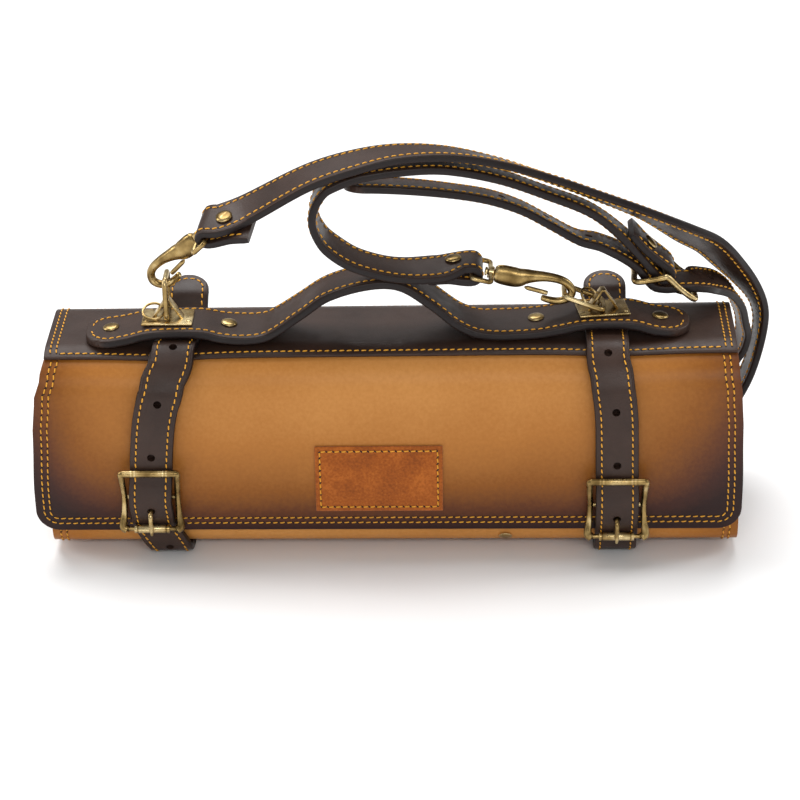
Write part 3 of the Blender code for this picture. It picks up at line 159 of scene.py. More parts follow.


# %% [markdown]
# The roll itself is tan leather, rubbed with darker wax toward its edges so that it looks scorched
# there; toward the foot of its front it is darker still, partly burnish and partly painted shade. Each
# corner point of the sheet will carry one darkening number, 0 where the leather is bare amber and 1
# where it is nearly black-brown, holding burnish and painted shade together. The ramp turns that
# number into a colour, and two noises break up the border between the tones, as a hand with a rag would.

# %% Burnished tan leather, with painted shade
def make_tan_leather():
    mat, shader, add = new_finish("burnished_tan_leather")
    where = grain(add, shader, 0.0011, 0.22, 0.00025)
    # the sheet's darkening number: burnish at the ends and edges, with painted shade toward the foot of the
    # front
    burnish_and_shade_at = add("ShaderNodeAttribute", attribute_name="burnish")
    cloud = add("ShaderNodeTexNoise", Scale=11.0, Detail=4.0, Roughness=0.55)
    fleck = add("ShaderNodeTexNoise", Scale=420.0, Detail=3.0)
    spread = add("ShaderNodeMapRange", From_Min=0.3, From_Max=0.7, To_Min=-0.045, To_Max=0.045)
    speck = add("ShaderNodeMapRange", From_Min=0.3, From_Max=0.7, To_Min=-0.025, To_Max=0.025)
    first, second = add("ShaderNodeMath", operation="ADD"), add("ShaderNodeMath", operation="ADD")
    tone = ramp(add, (0.0, srgb(206, 144, 76)), (0.2, srgb(176, 113, 48)), (0.42, srgb(138, 82, 26)),
                (0.62, srgb(98, 54, 26)), (0.8, srgb(64, 33, 24)), (1.0, srgb(40, 20, 18)))
    gloss = add("ShaderNodeMapRange", From_Min=0.0, From_Max=1.0, To_Min=0.46, To_Max=0.34)
    join(where, "Object", cloud, "Vector")
    join(where, "Object", fleck, "Vector")
    join(cloud, "Fac", spread, "Value")
    join(fleck, "Fac", speck, "Value")
    join(burnish_and_shade_at, "Fac", first, 0)
    join(spread, "Result", first, 1)
    join(first, 0, second, 0)
    join(speck, "Result", second, 1)
    join(second, 0, tone, "Fac")
    join(tone, "Color", shader, "Base Color")
    join(burnish_and_shade_at, "Fac", gloss, "Value")
    join(gloss, "Result", shader, "Roughness")
    shader.inputs["Specular IOR Level"].default_value = 0.22
    return mat


TAN = make_tan_leather()
print("finish:", TAN.name)


# %% [markdown]
# Straps, handle and top panel are oiled dark brown leather. On the real strap the face is a
# grey-brown with a soft shine, a creased line runs just inside each edge, and the cut edge is
# painted almost black. The straps carry a map: its second number runs from -1 at one edge to 1 at
# the other, so the crease and the dark edge are drawn by that number alone.

# %% Dark strap leather
def make_dark_leather(name, face, edge, crease_at):
    mat, shader, add = new_finish(name)
    where = grain(add, shader, 0.0009, 0.3, 0.0002)
    uv = add("ShaderNodeUVMap", uv_map="strap_map")
    parts = add("ShaderNodeSeparateXYZ")
    side = add("ShaderNodeMath", operation="ABSOLUTE")
    rim = ramp(add, (0.0, (0, 0, 0)), (crease_at + 0.035, (0, 0, 0)), (crease_at + 0.1, (1, 1, 1)))
    cloud = add("ShaderNodeTexNoise", Scale=28.0, Detail=5.0, Roughness=0.6)
    shade = ramp(add, (0.3, tuple(c * 0.72 for c in face)), (0.7, tuple(c * 1.3 for c in face)))
    mix = add("ShaderNodeMixRGB")
    mix.inputs[2].default_value = (*edge, 1.0)
    worn = add("ShaderNodeTexNoise", Scale=90.0, Detail=4.0)
    gloss = add("ShaderNodeMapRange", From_Min=0.3, From_Max=0.7, To_Min=0.34, To_Max=0.5)
    join(uv, "UV", parts, 0)
    join(parts, "Y", side, 0)
    join(side, 0, rim, "Fac")
    join(where, "Object", cloud, "Vector")
    join(where, "Object", worn, "Vector")
    join(cloud, "Fac", shade, "Fac")
    join(rim, "Color", mix, 0)
    join(shade, "Color", mix, 1)
    join(mix, "Color", shader, "Base Color")
    join(worn, "Fac", gloss, "Value")
    join(gloss, "Result", shader, "Roughness")
    # the crease is a narrow dip in the height, added ahead of the grain's own bump
    dip = ramp(add, (0.0, (1, 1, 1)), (crease_at - 0.035, (1, 1, 1)), (crease_at, (0, 0, 0)),
               (crease_at + 0.035, (1, 1, 1)))
    crease = add("ShaderNodeBump", Strength=0.6, Distance=0.0003)
    join(side, 0, dip, "Fac")
    join(dip, "Color", crease, "Height")
    grain_bump = shader.inputs["Normal"].links[0].from_node
    join(crease, "Normal", grain_bump, "Normal")
    shader.inputs["Specular IOR Level"].default_value = 0.27
    return mat


DARK = make_dark_leather("dark_strap_leather", srgb(54, 38, 31), srgb(24, 15, 14), 0.9)
print("finish:", DARK.name)


# %% [markdown]
# The blank patch is a different leather: napped, rust brown and quite matt. A fine dense noise
# stands for the nap, and a slower one for the way that it lies this way and that.

# %% Napped patch leather
def make_patch_leather():
    mat, shader, add = new_finish("napped_patch_leather")
    where = grain(add, shader, 0.0005, 0.55, 0.0002)
    nap = add("ShaderNodeTexNoise", Scale=700.0, Detail=4.0)
    drift = add("ShaderNodeTexNoise", Scale=55.0, Detail=5.0)
    both = add("ShaderNodeMath", operation="ADD")
    half = add("ShaderNodeMath", operation="MULTIPLY")
    half.inputs[1].default_value = 0.5
    tone = ramp(add, (0.36, srgb(132, 66, 18)), (0.52, srgb(160, 84, 24)), (0.66, srgb(184, 102, 34)))
    join(where, "Object", nap, "Vector")
    join(where, "Object", drift, "Vector")
    join(nap, "Fac", both, 0)
    join(drift, "Fac", both, 1)
    join(both, 0, half, 0)
    join(half, 0, tone, "Fac")
    join(tone, "Color", shader, "Base Color")
    shader.inputs["Roughness"].default_value = 0.85
    shader.inputs["Specular IOR Level"].default_value = 0.2
    shader.inputs["Sheen Weight"].default_value = 0.25
    return mat


PATCH = make_patch_leather()
print("finish:", PATCH.name)


# %% [markdown]
# The fittings are antique brass: plated dark, then rubbed so that the raised places shine through
# gold while the hollows keep their brown. Blender knows how pointed each place of a mesh is, so
# that value drives the change, with a noise to break it up and to roughen the cast surface.

# %% Antique brass
def make_brass():
    mat, shader, add = new_finish("antique_brass")
    where = add("ShaderNodeTexCoord")
    form = add("ShaderNodeNewGeometry")
    noise = add("ShaderNodeTexNoise", Scale=260.0, Detail=5.0, Roughness=0.65)
    patches = add("ShaderNodeTexNoise", Scale=70.0, Detail=3.0)
    raised = add("ShaderNodeMapRange", From_Min=0.44, From_Max=0.56, To_Min=-0.3, To_Max=0.3)
    cloud = add("ShaderNodeMapRange", From_Min=0.3, From_Max=0.7, To_Min=0.2, To_Max=0.85)
    total = add("ShaderNodeMath", operation="ADD")
    tone = ramp(add, (0.12, srgb(60, 46, 26)), (0.42, srgb(112, 90, 52)), (0.72, srgb(166, 140, 90)),
                (1.0, srgb(224, 202, 152)))
    gloss = add("ShaderNodeMapRange", From_Min=0.3, From_Max=0.7, To_Min=0.2, To_Max=0.42)
    bump = add("ShaderNodeBump", Strength=0.12, Distance=0.0002)
    join(where, "Object", noise, "Vector")
    join(where, "Object", patches, "Vector")
    join(form, "Pointiness", raised, "Value")
    join(patches, "Fac", cloud, "Value")
    join(raised, "Result", total, 0)
    join(cloud, "Result", total, 1)
    join(total, 0, tone, "Fac")
    join(tone, "Color", shader, "Base Color")
    join(noise, "Fac", gloss, "Value")
    join(gloss, "Result", shader, "Roughness")
    join(noise, "Fac", bump, "Height")
    join(bump, "Normal", shader, "Normal")
    shader.inputs["Metallic"].default_value = 1.0
    return mat


BRASS = make_brass()
print("finish:", BRASS.name)


# %% [markdown]
# Two small finishes are left. The thread is waxed yellow, with the twist of its strands as fine
# stripes of light and dark. The needle holes get a dark, dull brown that is painted shade, standing
# for the shadow inside each hole.

# %% Thread, and painted shade for the needle holes
def make_thread():
    mat, shader, add = new_finish("waxed_yellow_thread")
    where = add("ShaderNodeTexCoord")
    twist = add("ShaderNodeTexWave", Scale=900.0, Distortion=1.5)
    tone = ramp(add, (0.0, srgb(206, 128, 14)), (1.0, srgb(252, 190, 52)))
    bump = add("ShaderNodeBump", Strength=0.3, Distance=0.0001)
    join(where, "Object", twist, "Vector")
    join(twist, "Color", tone, "Fac")
    join(tone, "Color", shader, "Base Color")
    join(twist, "Color", bump, "Height")
    join(bump, "Normal", shader, "Normal")
    shader.inputs["Roughness"].default_value = 0.55
    return mat


def make_needle_hole_shade():
    # a dark disc laid at each needle hole: painted shade for the shadow inside the hole
    mat, shader, add = new_finish("needle_hole")
    noise = add("ShaderNodeTexNoise", Scale=900.0, Detail=2.0)
    tone = ramp(add, (0.3, srgb(26, 15, 11)), (0.7, srgb(46, 28, 20)))
    join(noise, "Fac", tone, "Fac")
    join(tone, "Color", shader, "Base Color")
    shader.inputs["Roughness"].default_value = 0.9
    return mat


THREAD, HOLE_SHADE = make_thread(), make_needle_hole_shade()
print("finishes:", THREAD.name, HOLE_SHADE.name)


# %% [markdown]
# ## Sizes and shapes that the solids were made by
# A good skin needs the same bones. The next two cells repeat the part's own sizes and its few
# functions, so each fine piece lies exactly where its plain solid lies.
# The roll's outline is counted in eighths of a turn, from the flap's edge up the front.

# %% Sizes of the knife roll
TOUCH_GAP = 0.3 * MM      # between two pieces that lie on each other
ROLL_LENGTH = 424 * MM    # across the flap at its widest
ROLL_DEPTH = 90 * MM
ROLL_HEIGHT = 127.5 * MM  # in the middle of its length
HEIGHT_TAPER = 0.0115     # the right end stands this share taller, the left end lower
TOP_RADIUS = 24 * MM
BOTTOM_RADIUS = 15 * MM
FACE_CROWN = 3 * MM       # bulge of the front and back faces
LEATHER = 2.6 * MM
LAYER_GAP = 1.4 * MM
FLAP_CORNER = 14 * MM
DENT_DEPTH = 2.2 * MM     # where a buckle strap pulls the top edge down
DENT_SPREAD = 30 * MM
ROLL_END = 13.6           # where the sheet ends inside, in eighths of a turn
PANEL_LEATHER = 2.0 * MM
PANEL_FRONT = 5 / 3       # in eighths of a turn
PANEL_BACK = 3.45
PATCH_WIDTH = 76 * MM
PATCH_HEIGHT = 44 * MM
PATCH_LEATHER = 1.2 * MM
PATCH_CENTRE_X = -5.4 * MM
PATCH_BASE = 34 * MM      # height of its lower edge
STRAP_WIDTH = 25.4 * MM
STRAP_LEATHER = 4.5 * MM
HOLDER_LEATHER = 2.0 * MM
HOLDER_WIDTH = 24 * MM
HOLDER_LENGTH_BELOW = 12 * MM
HOLE_RADIUS = 2.4 * MM
HOLE_PITCH = 35 * MM
LEFT_STRAP_X = -133 * MM
RIGHT_STRAP_X = 136 * MM
BUCKLE_WIDTH = 37.5 * MM
BUCKLE_HEIGHT = 42 * MM
BUCKLE_WIRE = 1.9 * MM
BUCKLE_BAR = 1.3 * MM
ROLLER_OUTER = 2.6 * MM
PRONG_RADIUS = 1.35 * MM
LEFT_BUCKLE_Z = 46 * MM
RIGHT_BUCKLE_Z = 39.5 * MM
HANDLE_LEATHER = 5.0 * MM
HANDLE_HALF_LENGTH = 179 * MM
HANDLE_HALF_WIDTH = 19 * MM
HANDLE_ARCH = 33 * MM     # clear height under the arch
HANDLE_CENTRE_Y = -9 * MM
HANDLE_YAW = 0.020        # the right end lies this share further back
RIVET_RADIUS = 4.9 * MM
RIVET_HEIGHT = 1.7 * MM
STUD_X = 70 * MM           # the stud under the flap
STUD_RADIUS = 4.0 * MM
PLATE_LENGTH = 30 * MM
PLATE_DEPTH = 21 * MM
PLATE_THICKNESS = 1.5 * MM
TENT_WIDTH = 20 * MM
TENT_HEIGHT = 12.5 * MM
TENT_DEPTH = 6 * MM
TENT_SHEET = 1.3 * MM
MOUNT_LEFT_X = -130 * MM
MOUNT_RIGHT_X = 127.5 * MM
MOUNT_RIGHT_YAW = 8.0     # degrees
RING_WIRE = 1.6 * MM
RING_LENGTH = 24.5 * MM   # between the middles of its two bars
RING_WIDTH = 17.5 * MM    # between the middles of its two legs
ROUND_RING_RADIUS = 6.4 * MM
ROUND_RING_WIRE = 0.8 * MM
HOOK_LENGTH = 49 * MM
HOOK_THICKNESS = 8 * MM
HOOK_POST = 1.6 * MM
HOOK_HUB = 3.7 * MM
LOOP_WIRE = 1.5 * MM
LOOP_LEG = 11.3 * MM      # from the hub's bar to the bar inside the strap
SHOULDER_WIDTH = 25.4 * MM
SHOULDER_LEATHER = 4.6 * MM
SHOULDER_RISE = 116 * MM  # the top of the arch above the roll's leather
FOLD_TAIL = 26 * MM
SHORT_TAIL = 33 * MM
SHOULDER_BUCKLE_LENGTH = 39 * MM
SHOULDER_BUCKLE_WIDTH = 35 * MM
SHOULDER_BUCKLE_WIRE = 1.9 * MM
SHOULDER_HOLE_PITCH = 30 * MM
HALF_LENGTH = ROLL_LENGTH / 2
HALF_DEPTH = ROLL_DEPTH / 2
ROLL_BASE = STRAP_LEATHER + TOUCH_GAP
LAYER_PITCH = LEATHER + LAYER_GAP
PANEL_TOP = TOUCH_GAP + PANEL_LEATHER

print("roll:", round(ROLL_LENGTH / MM), "mm long, strap", round(STRAP_WIDTH / MM, 1), "mm wide")

# %% [markdown]
# `section` gives a point of the roll's outline at any turn, with the direction that faces out.
# Everything sewn or strapped onto the roll is placed by it, so nothing floats and nothing sinks in.

# %% The outline of the roll
# How far a buckle strap swings sideways at each turn, in shares of its width
LEFT_SWAY = [(-5.0, 0.08), (-1.5, 0.08), (-0.5, 0.03), (0.06, -0.28), (0.29, -0.33), (0.55, -0.28),
             (0.79, -0.19), (1.2, 0.04), (1.55, 0.27), (2.2, 0.42), (4.0, 0.53)]
RIGHT_SWAY = [(-5.0, 0.0), (0.3, 0.0), (0.79, -0.04), (1.2, -0.14), (1.55, -0.25), (4.0, -0.23)]
# Turn, left half length and right half length of the leather, as shares of HALF_LENGTH
SHEET_WIDTHS = [(0.0, 1.0, 0.995), (0.3, 1.0, 0.995), (0.75, 0.992, 0.99), (1.0, 0.983, 0.984),
                (1.35, 0.966, 0.976), (1.75, 0.955, 0.972),
                (4.0, 0.955, 0.972), (6.0, 0.96, 0.98), (7.0, 0.962, 0.99), (8.0, 0.962, 0.99),
                (9.0, 0.95, 0.97), (14.0, 0.95, 0.97)]
def read_rows(rows, at, column=1):
    """The value of a column at a place, in a table sorted by its first column."""
    if at <= rows[0][0]:
        return rows[0][column]
    for low, high in zip(rows, rows[1:]):
        if at <= high[0]:
            f = (at - low[0]) / (high[0] - low[0])
            f = f * f * (3 - 2 * f)
            return low[column] + (high[column] - low[column]) * f
    return rows[-1][column]


def roll_top(x):
    """Height of the rolled leather at a place along the roll."""
    return ROLL_BASE + ROLL_HEIGHT * (1 + HEIGHT_TAPER * x / HALF_LENGTH)


def dent(turn, x):
    """How far the buckle straps pull the leather in along the top front edge."""
    near = max(0.0, math.cos(math.pi * (turn - 1.6) / 1.8)) if abs(turn - 1.6) < 0.9 else 0.0
    pull = sum(math.exp(-(((x - middle) / DENT_SPREAD) ** 2)) for middle in (LEFT_STRAP_X, RIGHT_STRAP_X))
    return DENT_DEPTH * near * pull


def section(turn, x, out=0.0):
    """A point out metres off the roll's outline, and the direction that faces out there."""
    side = math.floor(turn)
    f = turn - side
    side %= 8
    out -= dent(side + f, x)
    top = roll_top(x)
    low, high = ROLL_BASE + BOTTOM_RADIUS, top - TOP_RADIUS
    crown = FACE_CROWN * math.sin(math.pi * f)
    swing = f * math.pi / 2
    s, c = math.sin(swing), math.cos(swing)
    flat_top, flat_base = HALF_DEPTH - TOP_RADIUS, HALF_DEPTH - BOTTOM_RADIUS
    y, z, face = [
        (-HALF_DEPTH - crown, low + (high - low) * f, (-1, 0)),
        (-flat_top - TOP_RADIUS * c, high + TOP_RADIUS * s, (-c, s)),
        (-flat_top + 2 * flat_top * f, top, (0, 1)),
        (flat_top + TOP_RADIUS * s, high + TOP_RADIUS * c, (s, c)),
        (HALF_DEPTH + crown * 0.5, high - (high - low) * f, (1, 0)),
        (flat_base + BOTTOM_RADIUS * c, low - BOTTOM_RADIUS * s, (c, -s)),
        (flat_base - 2 * flat_base * f, ROLL_BASE, (0, -1)),
        (-flat_base - BOTTOM_RADIUS * s, low - BOTTOM_RADIUS * c, (-s, -c)),
    ][side]
    return Vector((x, y + face[0] * out, z + face[1] * out)), Vector((0, *face))


def layer_inset(turn):
    """The sheet goes one layer inward as it passes behind its own flap."""
    laps = math.floor(turn / 8)
    f = min(max((turn - laps * 8 - 6.6) / 1.4, 0.0), 1.0)
    return LAYER_PITCH * (laps + f * f * (3 - 2 * f))


def sheet_x(turn, share, from_edge):
    """Place along the roll of a column of the sheet, with the flap's corners rounded."""
    half = HALF_LENGTH * read_rows(SHEET_WIDTHS, turn, 1 if share < 0 else 2)
    short = FLAP_CORNER - min(from_edge, FLAP_CORNER)
    half -= FLAP_CORNER - math.sqrt(FLAP_CORNER ** 2 - short ** 2)
    return half * share


def front_turn(height, x):
    """The turn at which the front face has a height."""
    low = ROLL_BASE + BOTTOM_RADIUS
    return (height - low) / (roll_top(x) - TOP_RADIUS - low)



print("top of the roll:", round(roll_top(0) / MM, 1), "mm")

# %% [markdown]
# A strap or a wire follows a route. `smooth_route` draws one soft curve through a few chosen rows.
# With small steps it gives many points, so a bend looks bent and not folded from plates.

# %% Routes
def smooth_route(rows, step, turn):
    """Points on a smooth curve through the rows, thinned where it runs straight.

    Each row is a place (a Vector) and the width direction there (a Vector).
    A point is kept every step metres, or wherever the route has turned by turn degrees.
    """
    fine = []
    spans = len(rows) - 1
    for i in range(spans):
        before, start = rows[max(i - 1, 0)], rows[i]
        end, after = rows[i + 1], rows[min(i + 2, spans)]
        chord = (end[0] - start[0]).length
        pulls = []
        for low, mid, high in ((before, start, end), (start, end, after)):
            reach = (high[0] - low[0]).length
            pulls.append([(high[k] - low[k]) * (chord / max(reach, 1e-9)) for k in (0, 1)])
        count = max(4, int(chord / (1 * MM)))
        for j in range(count):
            f = j / count
            h1, h2 = 2 * f ** 3 - 3 * f ** 2 + 1, -2 * f ** 3 + 3 * f ** 2
            h3, h4 = f ** 3 - 2 * f ** 2 + f, f ** 3 - f ** 2
            fine.append([start[k] * h1 + end[k] * h2 + pulls[0][k] * h3 + pulls[1][k] * h4 for k in (0, 1)])
    fine.append([rows[-1][0].copy(), rows[-1][1].copy()])
    kept = [fine[0]]
    heading = (fine[1][0] - fine[0][0]).normalized()
    for here, ahead in zip(fine[1:-1], fine[2:]):
        now = (ahead[0] - here[0]).normalized()
        gone = (here[0] - kept[-1][0]).length
        if gone >= step or (gone > 1.5 * MM and now.angle(heading) >= math.radians(turn)):
            kept.append(here)
            heading = now
    if (kept[-1][0] - fine[-1][0]).length < 1.2 * MM and len(kept) > 2:
        kept.pop()
    kept.append(fine[-1])
    return kept


def frames_along(route):
    """Place, width direction, face direction and distance gone, at each point of a route."""
    frames = []
    gone = 0.0
    for i, (here, across) in enumerate(route):
        ahead = route[min(i + 1, len(route) - 1)][0]
        behind = route[max(i - 1, 0)][0]
        along = (ahead - behind).normalized()
        wide = (across - along * across.dot(along)).normalized()
        if i:
            gone += (here - route[i - 1][0]).length
        frames.append((here, wide, along.cross(wide).normalized(), gone))
    return frames


def round_tip(gone, half_width, radius):
    """Half width of a band near a round tip, at a distance gone from it."""
    short = radius - min(gone, radius)
    return half_width - radius + math.sqrt(max(radius ** 2 - short ** 2, 0.0))


def axes(origin, x_axis, z_hint):
    """A frame with its X along x_axis and its Z near z_hint."""
    x = x_axis.normalized()
    z = (z_hint - x * z_hint.dot(x)).normalized()
    y = z.cross(x)
    return Matrix.Translation(origin) @ Matrix((x, y, z)).transposed().to_4x4()


def distance_to(route, point):
    """How far along a route its nearest point to a place is."""
    frames = frames_along(route)
    found = []
    for (p, _, _, gone), (q, _, _, further) in zip(frames, frames[1:]):
        share = min(max((point - p).dot(q - p) / (q - p).length_squared, 0.0), 1.0)
        found.append(((p.lerp(q, share) - point).length, gone + share * (further - gone)))
    return min(found)[1]





def at_distance(frames, gone):
    """Place, width and face direction at a distance along a route."""
    gone = min(max(gone, 0.0), frames[-1][3])
    for low, high in zip(frames, frames[1:]):
        if gone <= high[3]:
            f = (gone - low[3]) / max(high[3] - low[3], 1e-9)
            return tuple(low[k].lerp(high[k], f) for k in range(3))
    return frames[-1][:3]


FINE_STEP, FINE_TURN = 2.6 * MM, 4.0
print("a fine route has a point every", FINE_STEP / MM, "mm")

# %% [markdown]
# ## From shapes to pieces
# Every piece ends the same way: it gets its finish, it goes to its place, it rides on a body of the
# frame, and the solid it stands for is hidden. One helper does all of that.

# %% Helpers that make pieces
made = []


def piece(name, mesh, finish, matrix=None, body="roll", stands_for=()):
    """A finished piece in its place on the part."""
    obj = bpy.data.objects.new(name, mesh)
    bpy.context.scene.collection.objects.link(obj)
    mesh.materials.clear()
    mesh.materials.append(finish)
    mesh.transform(TO_PART @ (matrix or Matrix.Identity(4)))
    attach(obj, body)
    if stands_for:
        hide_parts(*stands_for)
    made.append(name)
    return obj


# %% [markdown]
# Most pieces are rings of points joined by faces: a strap is many small cross-sections in a row, and
# so is a wire. `loft` joins the rings, and `softened` adds rows between given ones.

# %% Lofted meshes
def smooth_mesh(name, points, faces, angle=50):
    """A mesh with its faces turned outward and soft shading."""
    mesh = bpy.data.meshes.new(name)
    mesh.from_pydata([tuple(p) for p in points], [], faces)
    work = bmesh.new()
    work.from_mesh(mesh)
    bmesh.ops.recalc_face_normals(work, faces=work.faces)
    work.to_mesh(mesh)
    work.free()
    mesh.shade_smooth()
    mesh.set_sharp_from_angle(angle=math.radians(angle))
    return mesh


def loft(rings):
    """Faces between rings of equal point counts, with a cap at both ends."""
    sides = len(rings[0])
    faces = []
    for i in range(len(rings) - 1):
        a, b = i * sides, (i + 1) * sides
        faces += [(a + k, a + (k + 1) % sides, b + (k + 1) % sides, b + k) for k in range(sides)]
    last = (len(rings) - 1) * sides
    faces += [tuple(range(sides)), tuple(range(last, last + sides))]
    return [p for ring in rings for p in ring], faces


def softened(rows, steps, closed):
    """More rows on a soft curve through rows of numbers."""
    count = len(rows)
    fine = []
    for i in range(count if closed else count - 1):
        def near(k):
            return rows[(i + k) % count] if closed else rows[min(max(i + k, 0), count - 1)]
        for j in range(steps):
            f = j / steps
            fine.append(tuple(
                b + 0.5 * f * (c - a + f * (2 * a - 5 * b + 4 * c - d + f * (3 * b - a - 3 * c + d)))
                for a, b, c, d in zip(near(-1), near(0), near(1), near(2))))
    return fine if closed else fine + [tuple(rows[-1])]


print("lofted meshes ready")

# %% [markdown]
# A bent wire keeps a round section however it turns, so the section's side is carried along from
# ring to ring. A lathe-turned piece, such as a rivet cap, is one profile spun about its own axis.

# %% Wires and turned pieces
def tube(name, rows, radius, closed=False, sides=20, steps=4):
    """A round wire through rows of x, y, z and thickness share."""
    fine = softened([tuple(r) + ((1.0,) if len(r) == 3 else ()) for r in rows], steps, closed)
    count = len(fine)
    rings, side_way = [], None
    for i, row in enumerate(fine):
        here = Vector(row[:3])
        ahead = Vector(fine[(i + 1) % count if closed else min(i + 1, count - 1)][:3])
        behind = Vector(fine[(i - 1) % count if closed else max(i - 1, 0)][:3])
        along = (ahead - behind).normalized()
        if side_way is None:
            side_way = along.orthogonal().normalized()
        side_way = (side_way - along * side_way.dot(along)).normalized()
        other = along.cross(side_way)
        rings.append([here + (side_way * math.cos(a) + other * math.sin(a)) * (radius * row[3])
                      for a in (2 * math.pi * k / sides for k in range(sides))])
    points, faces = loft(rings)
    if closed:
        faces = faces[:-2]
        last = (count - 1) * sides
        shift = min(range(sides), key=lambda k: (rings[-1][0] - rings[0][k]).length)
        faces += [(last + k, last + (k + 1) % sides, (k + 1 + shift) % sides, (k + shift) % sides)
                  for k in range(sides)]
    return smooth_mesh(name, points, faces)


def turned(name, profile, sides=40, ring=False):
    """A turned piece from rows of radius and height, spun about Z."""
    points, faces = [], []
    rows = len(profile)
    for k in range(sides):
        angle = 2 * math.pi * k / sides
        points += [(r * math.cos(angle), r * math.sin(angle), z) for r, z in profile]
    for k in range(sides):
        a, b = k * rows, (k + 1) % sides * rows
        faces += [(a + i, b + i, b + i + 1, a + i + 1) for i in range(rows - 1)]
        if ring:
            faces.append((a + rows - 1, b + rows - 1, b, a))
    mesh = smooth_mesh(name, points, faces, 35)
    work = bmesh.new()
    work.from_mesh(mesh)
    bmesh.ops.remove_doubles(work, verts=work.verts, dist=0.000001)
    bmesh.ops.recalc_face_normals(work, faces=work.faces)
    work.to_mesh(mesh)
    work.free()
    return mesh


print("wires and turned pieces ready")

# %% [markdown]
# ## Stitches
# Saddle stitch is a row of short threads, each a little slanted, that dive into needle holes.
# Here each stitch is a small capsule half sunk in the leather, and each hole a flat dark disc on the
# surface: painted shade for the inside of the hole.
# A row is only a list of places: a point on the surface, the way along, and the way out.

# %% Sewing
STITCH_PITCH = 4.3 * MM
STITCH_LENGTH = 3.1 * MM
THREAD_RADIUS = 0.42 * MM


def spaced(path, pitch=STITCH_PITCH):
    """Points at an even pitch along a path of (place, way out) rows."""
    total = [0.0]
    for (p, _), (q, _) in zip(path, path[1:]):
        total.append(total[-1] + (q - p).length)
    count = max(int(total[-1] / pitch), 1)
    spots, k = [], 0
    for n in range(count):
        want = total[-1] * (n + 0.5) / count
        while total[k + 1] < want:
            k += 1
        f = (want - total[k]) / max(total[k + 1] - total[k], 1e-9)
        here, out = path[k][0].lerp(path[k + 1][0], f), path[k][1].lerp(path[k + 1][1], f).normalized()
        along = (path[k + 1][0] - path[k][0]).normalized()
        spots.append((here, (along - out * along.dot(out)).normalized(), out))
    return spots


def sew(name, spots, body="roll"):
    """Thread, and a dark disc of painted shade for the needle holes, at every spot, as two pieces."""
    thread, thread_faces, holes, hole_faces = [], [], [], []
    for here, along, out in spots:
        across = out.cross(along)
        slant = (along + across * 0.14).normalized()
        side = out.cross(slant)
        rings = []
        for t, r in ((-1, 0.25), (-0.82, 0.8), (-0.4, 1), (0.4, 1), (0.82, 0.8), (1, 0.25)):
            above = THREAD_RADIUS * (0.42 - 0.75 * abs(t) ** 4)
            middle = here + slant * (t * STITCH_LENGTH / 2) + out * above
            rings.append([middle + (side * math.cos(a) + out * math.sin(a)) * (THREAD_RADIUS * r)
                          for a in (math.pi * k / 3 for k in range(6))])
        points, faces = loft(rings)
        thread_faces += [tuple(len(thread) + k for k in face) for face in faces]
        thread += points
        # at both ends of a stitch, a flat dark disc of painted shade for the needle hole's inside
        for end in (-1, 1):
            middle = here + slant * (end * STITCH_LENGTH * 0.53) + out * 0.04 * MM
            first = len(holes)
            holes += [middle + (along * math.cos(a) * 0.62 + across * math.sin(a) * 0.6) * MM
                      for a in (math.pi * k / 4 for k in range(8))]
            hole_faces.append(tuple(range(first, first + 8)))
    piece(name + "_thread", smooth_mesh(name, thread, thread_faces, 80), THREAD, body=body)
    mesh = bpy.data.meshes.new(name + "_holes")
    mesh.from_pydata([tuple(p) for p in holes], [], hole_faces)
    piece(name + "_needle_holes", mesh, HOLE_SHADE, body=body)


print("stitch pitch:", STITCH_PITCH / MM, "mm")

# %% [markdown]
# ## Leather bands
# A strap's edge is bevelled, sanded round and painted. The cross-section below is a flat rectangle
# with soft corners, swept along the route. It writes the strap map that the leather finish reads.

# %% Strap maker
# Points of the cross-section: share of the half width, share of the half thickness
EDGE = [(1.0, -0.45), (1.0, 0.45), (0.985, 0.75), (0.955, 0.94), (0.9, 1.0), (0.55, 1.03), (0.0, 1.05),
        (-0.55, 1.03), (-0.9, 1.0), (-0.955, 0.94), (-0.985, 0.75), (-1.0, 0.45), (-1.0, -0.45),
        (-0.985, -0.75), (-0.955, -0.94), (-0.9, -1.0), (0.0, -1.0), (0.9, -1.0), (0.955, -0.94),
        (0.985, -0.75)]
TIP_SHARES = (0.0, 0.02, 0.06, 0.13, 0.25, 0.4, 0.6, 0.8)   # extra rows that keep a tip round


def half_at(frames, gone, half, start_round, end_round, slack=0.0):
    """Half width of a band at a distance along it, narrowed toward round ends."""
    if start_round:
        half = min(half, round_tip(max(gone - slack, 0), half, start_round - slack))
    if end_round:
        half = min(half, round_tip(max(frames[-1][3] - gone - slack, 0), half, end_round - slack))
    return half


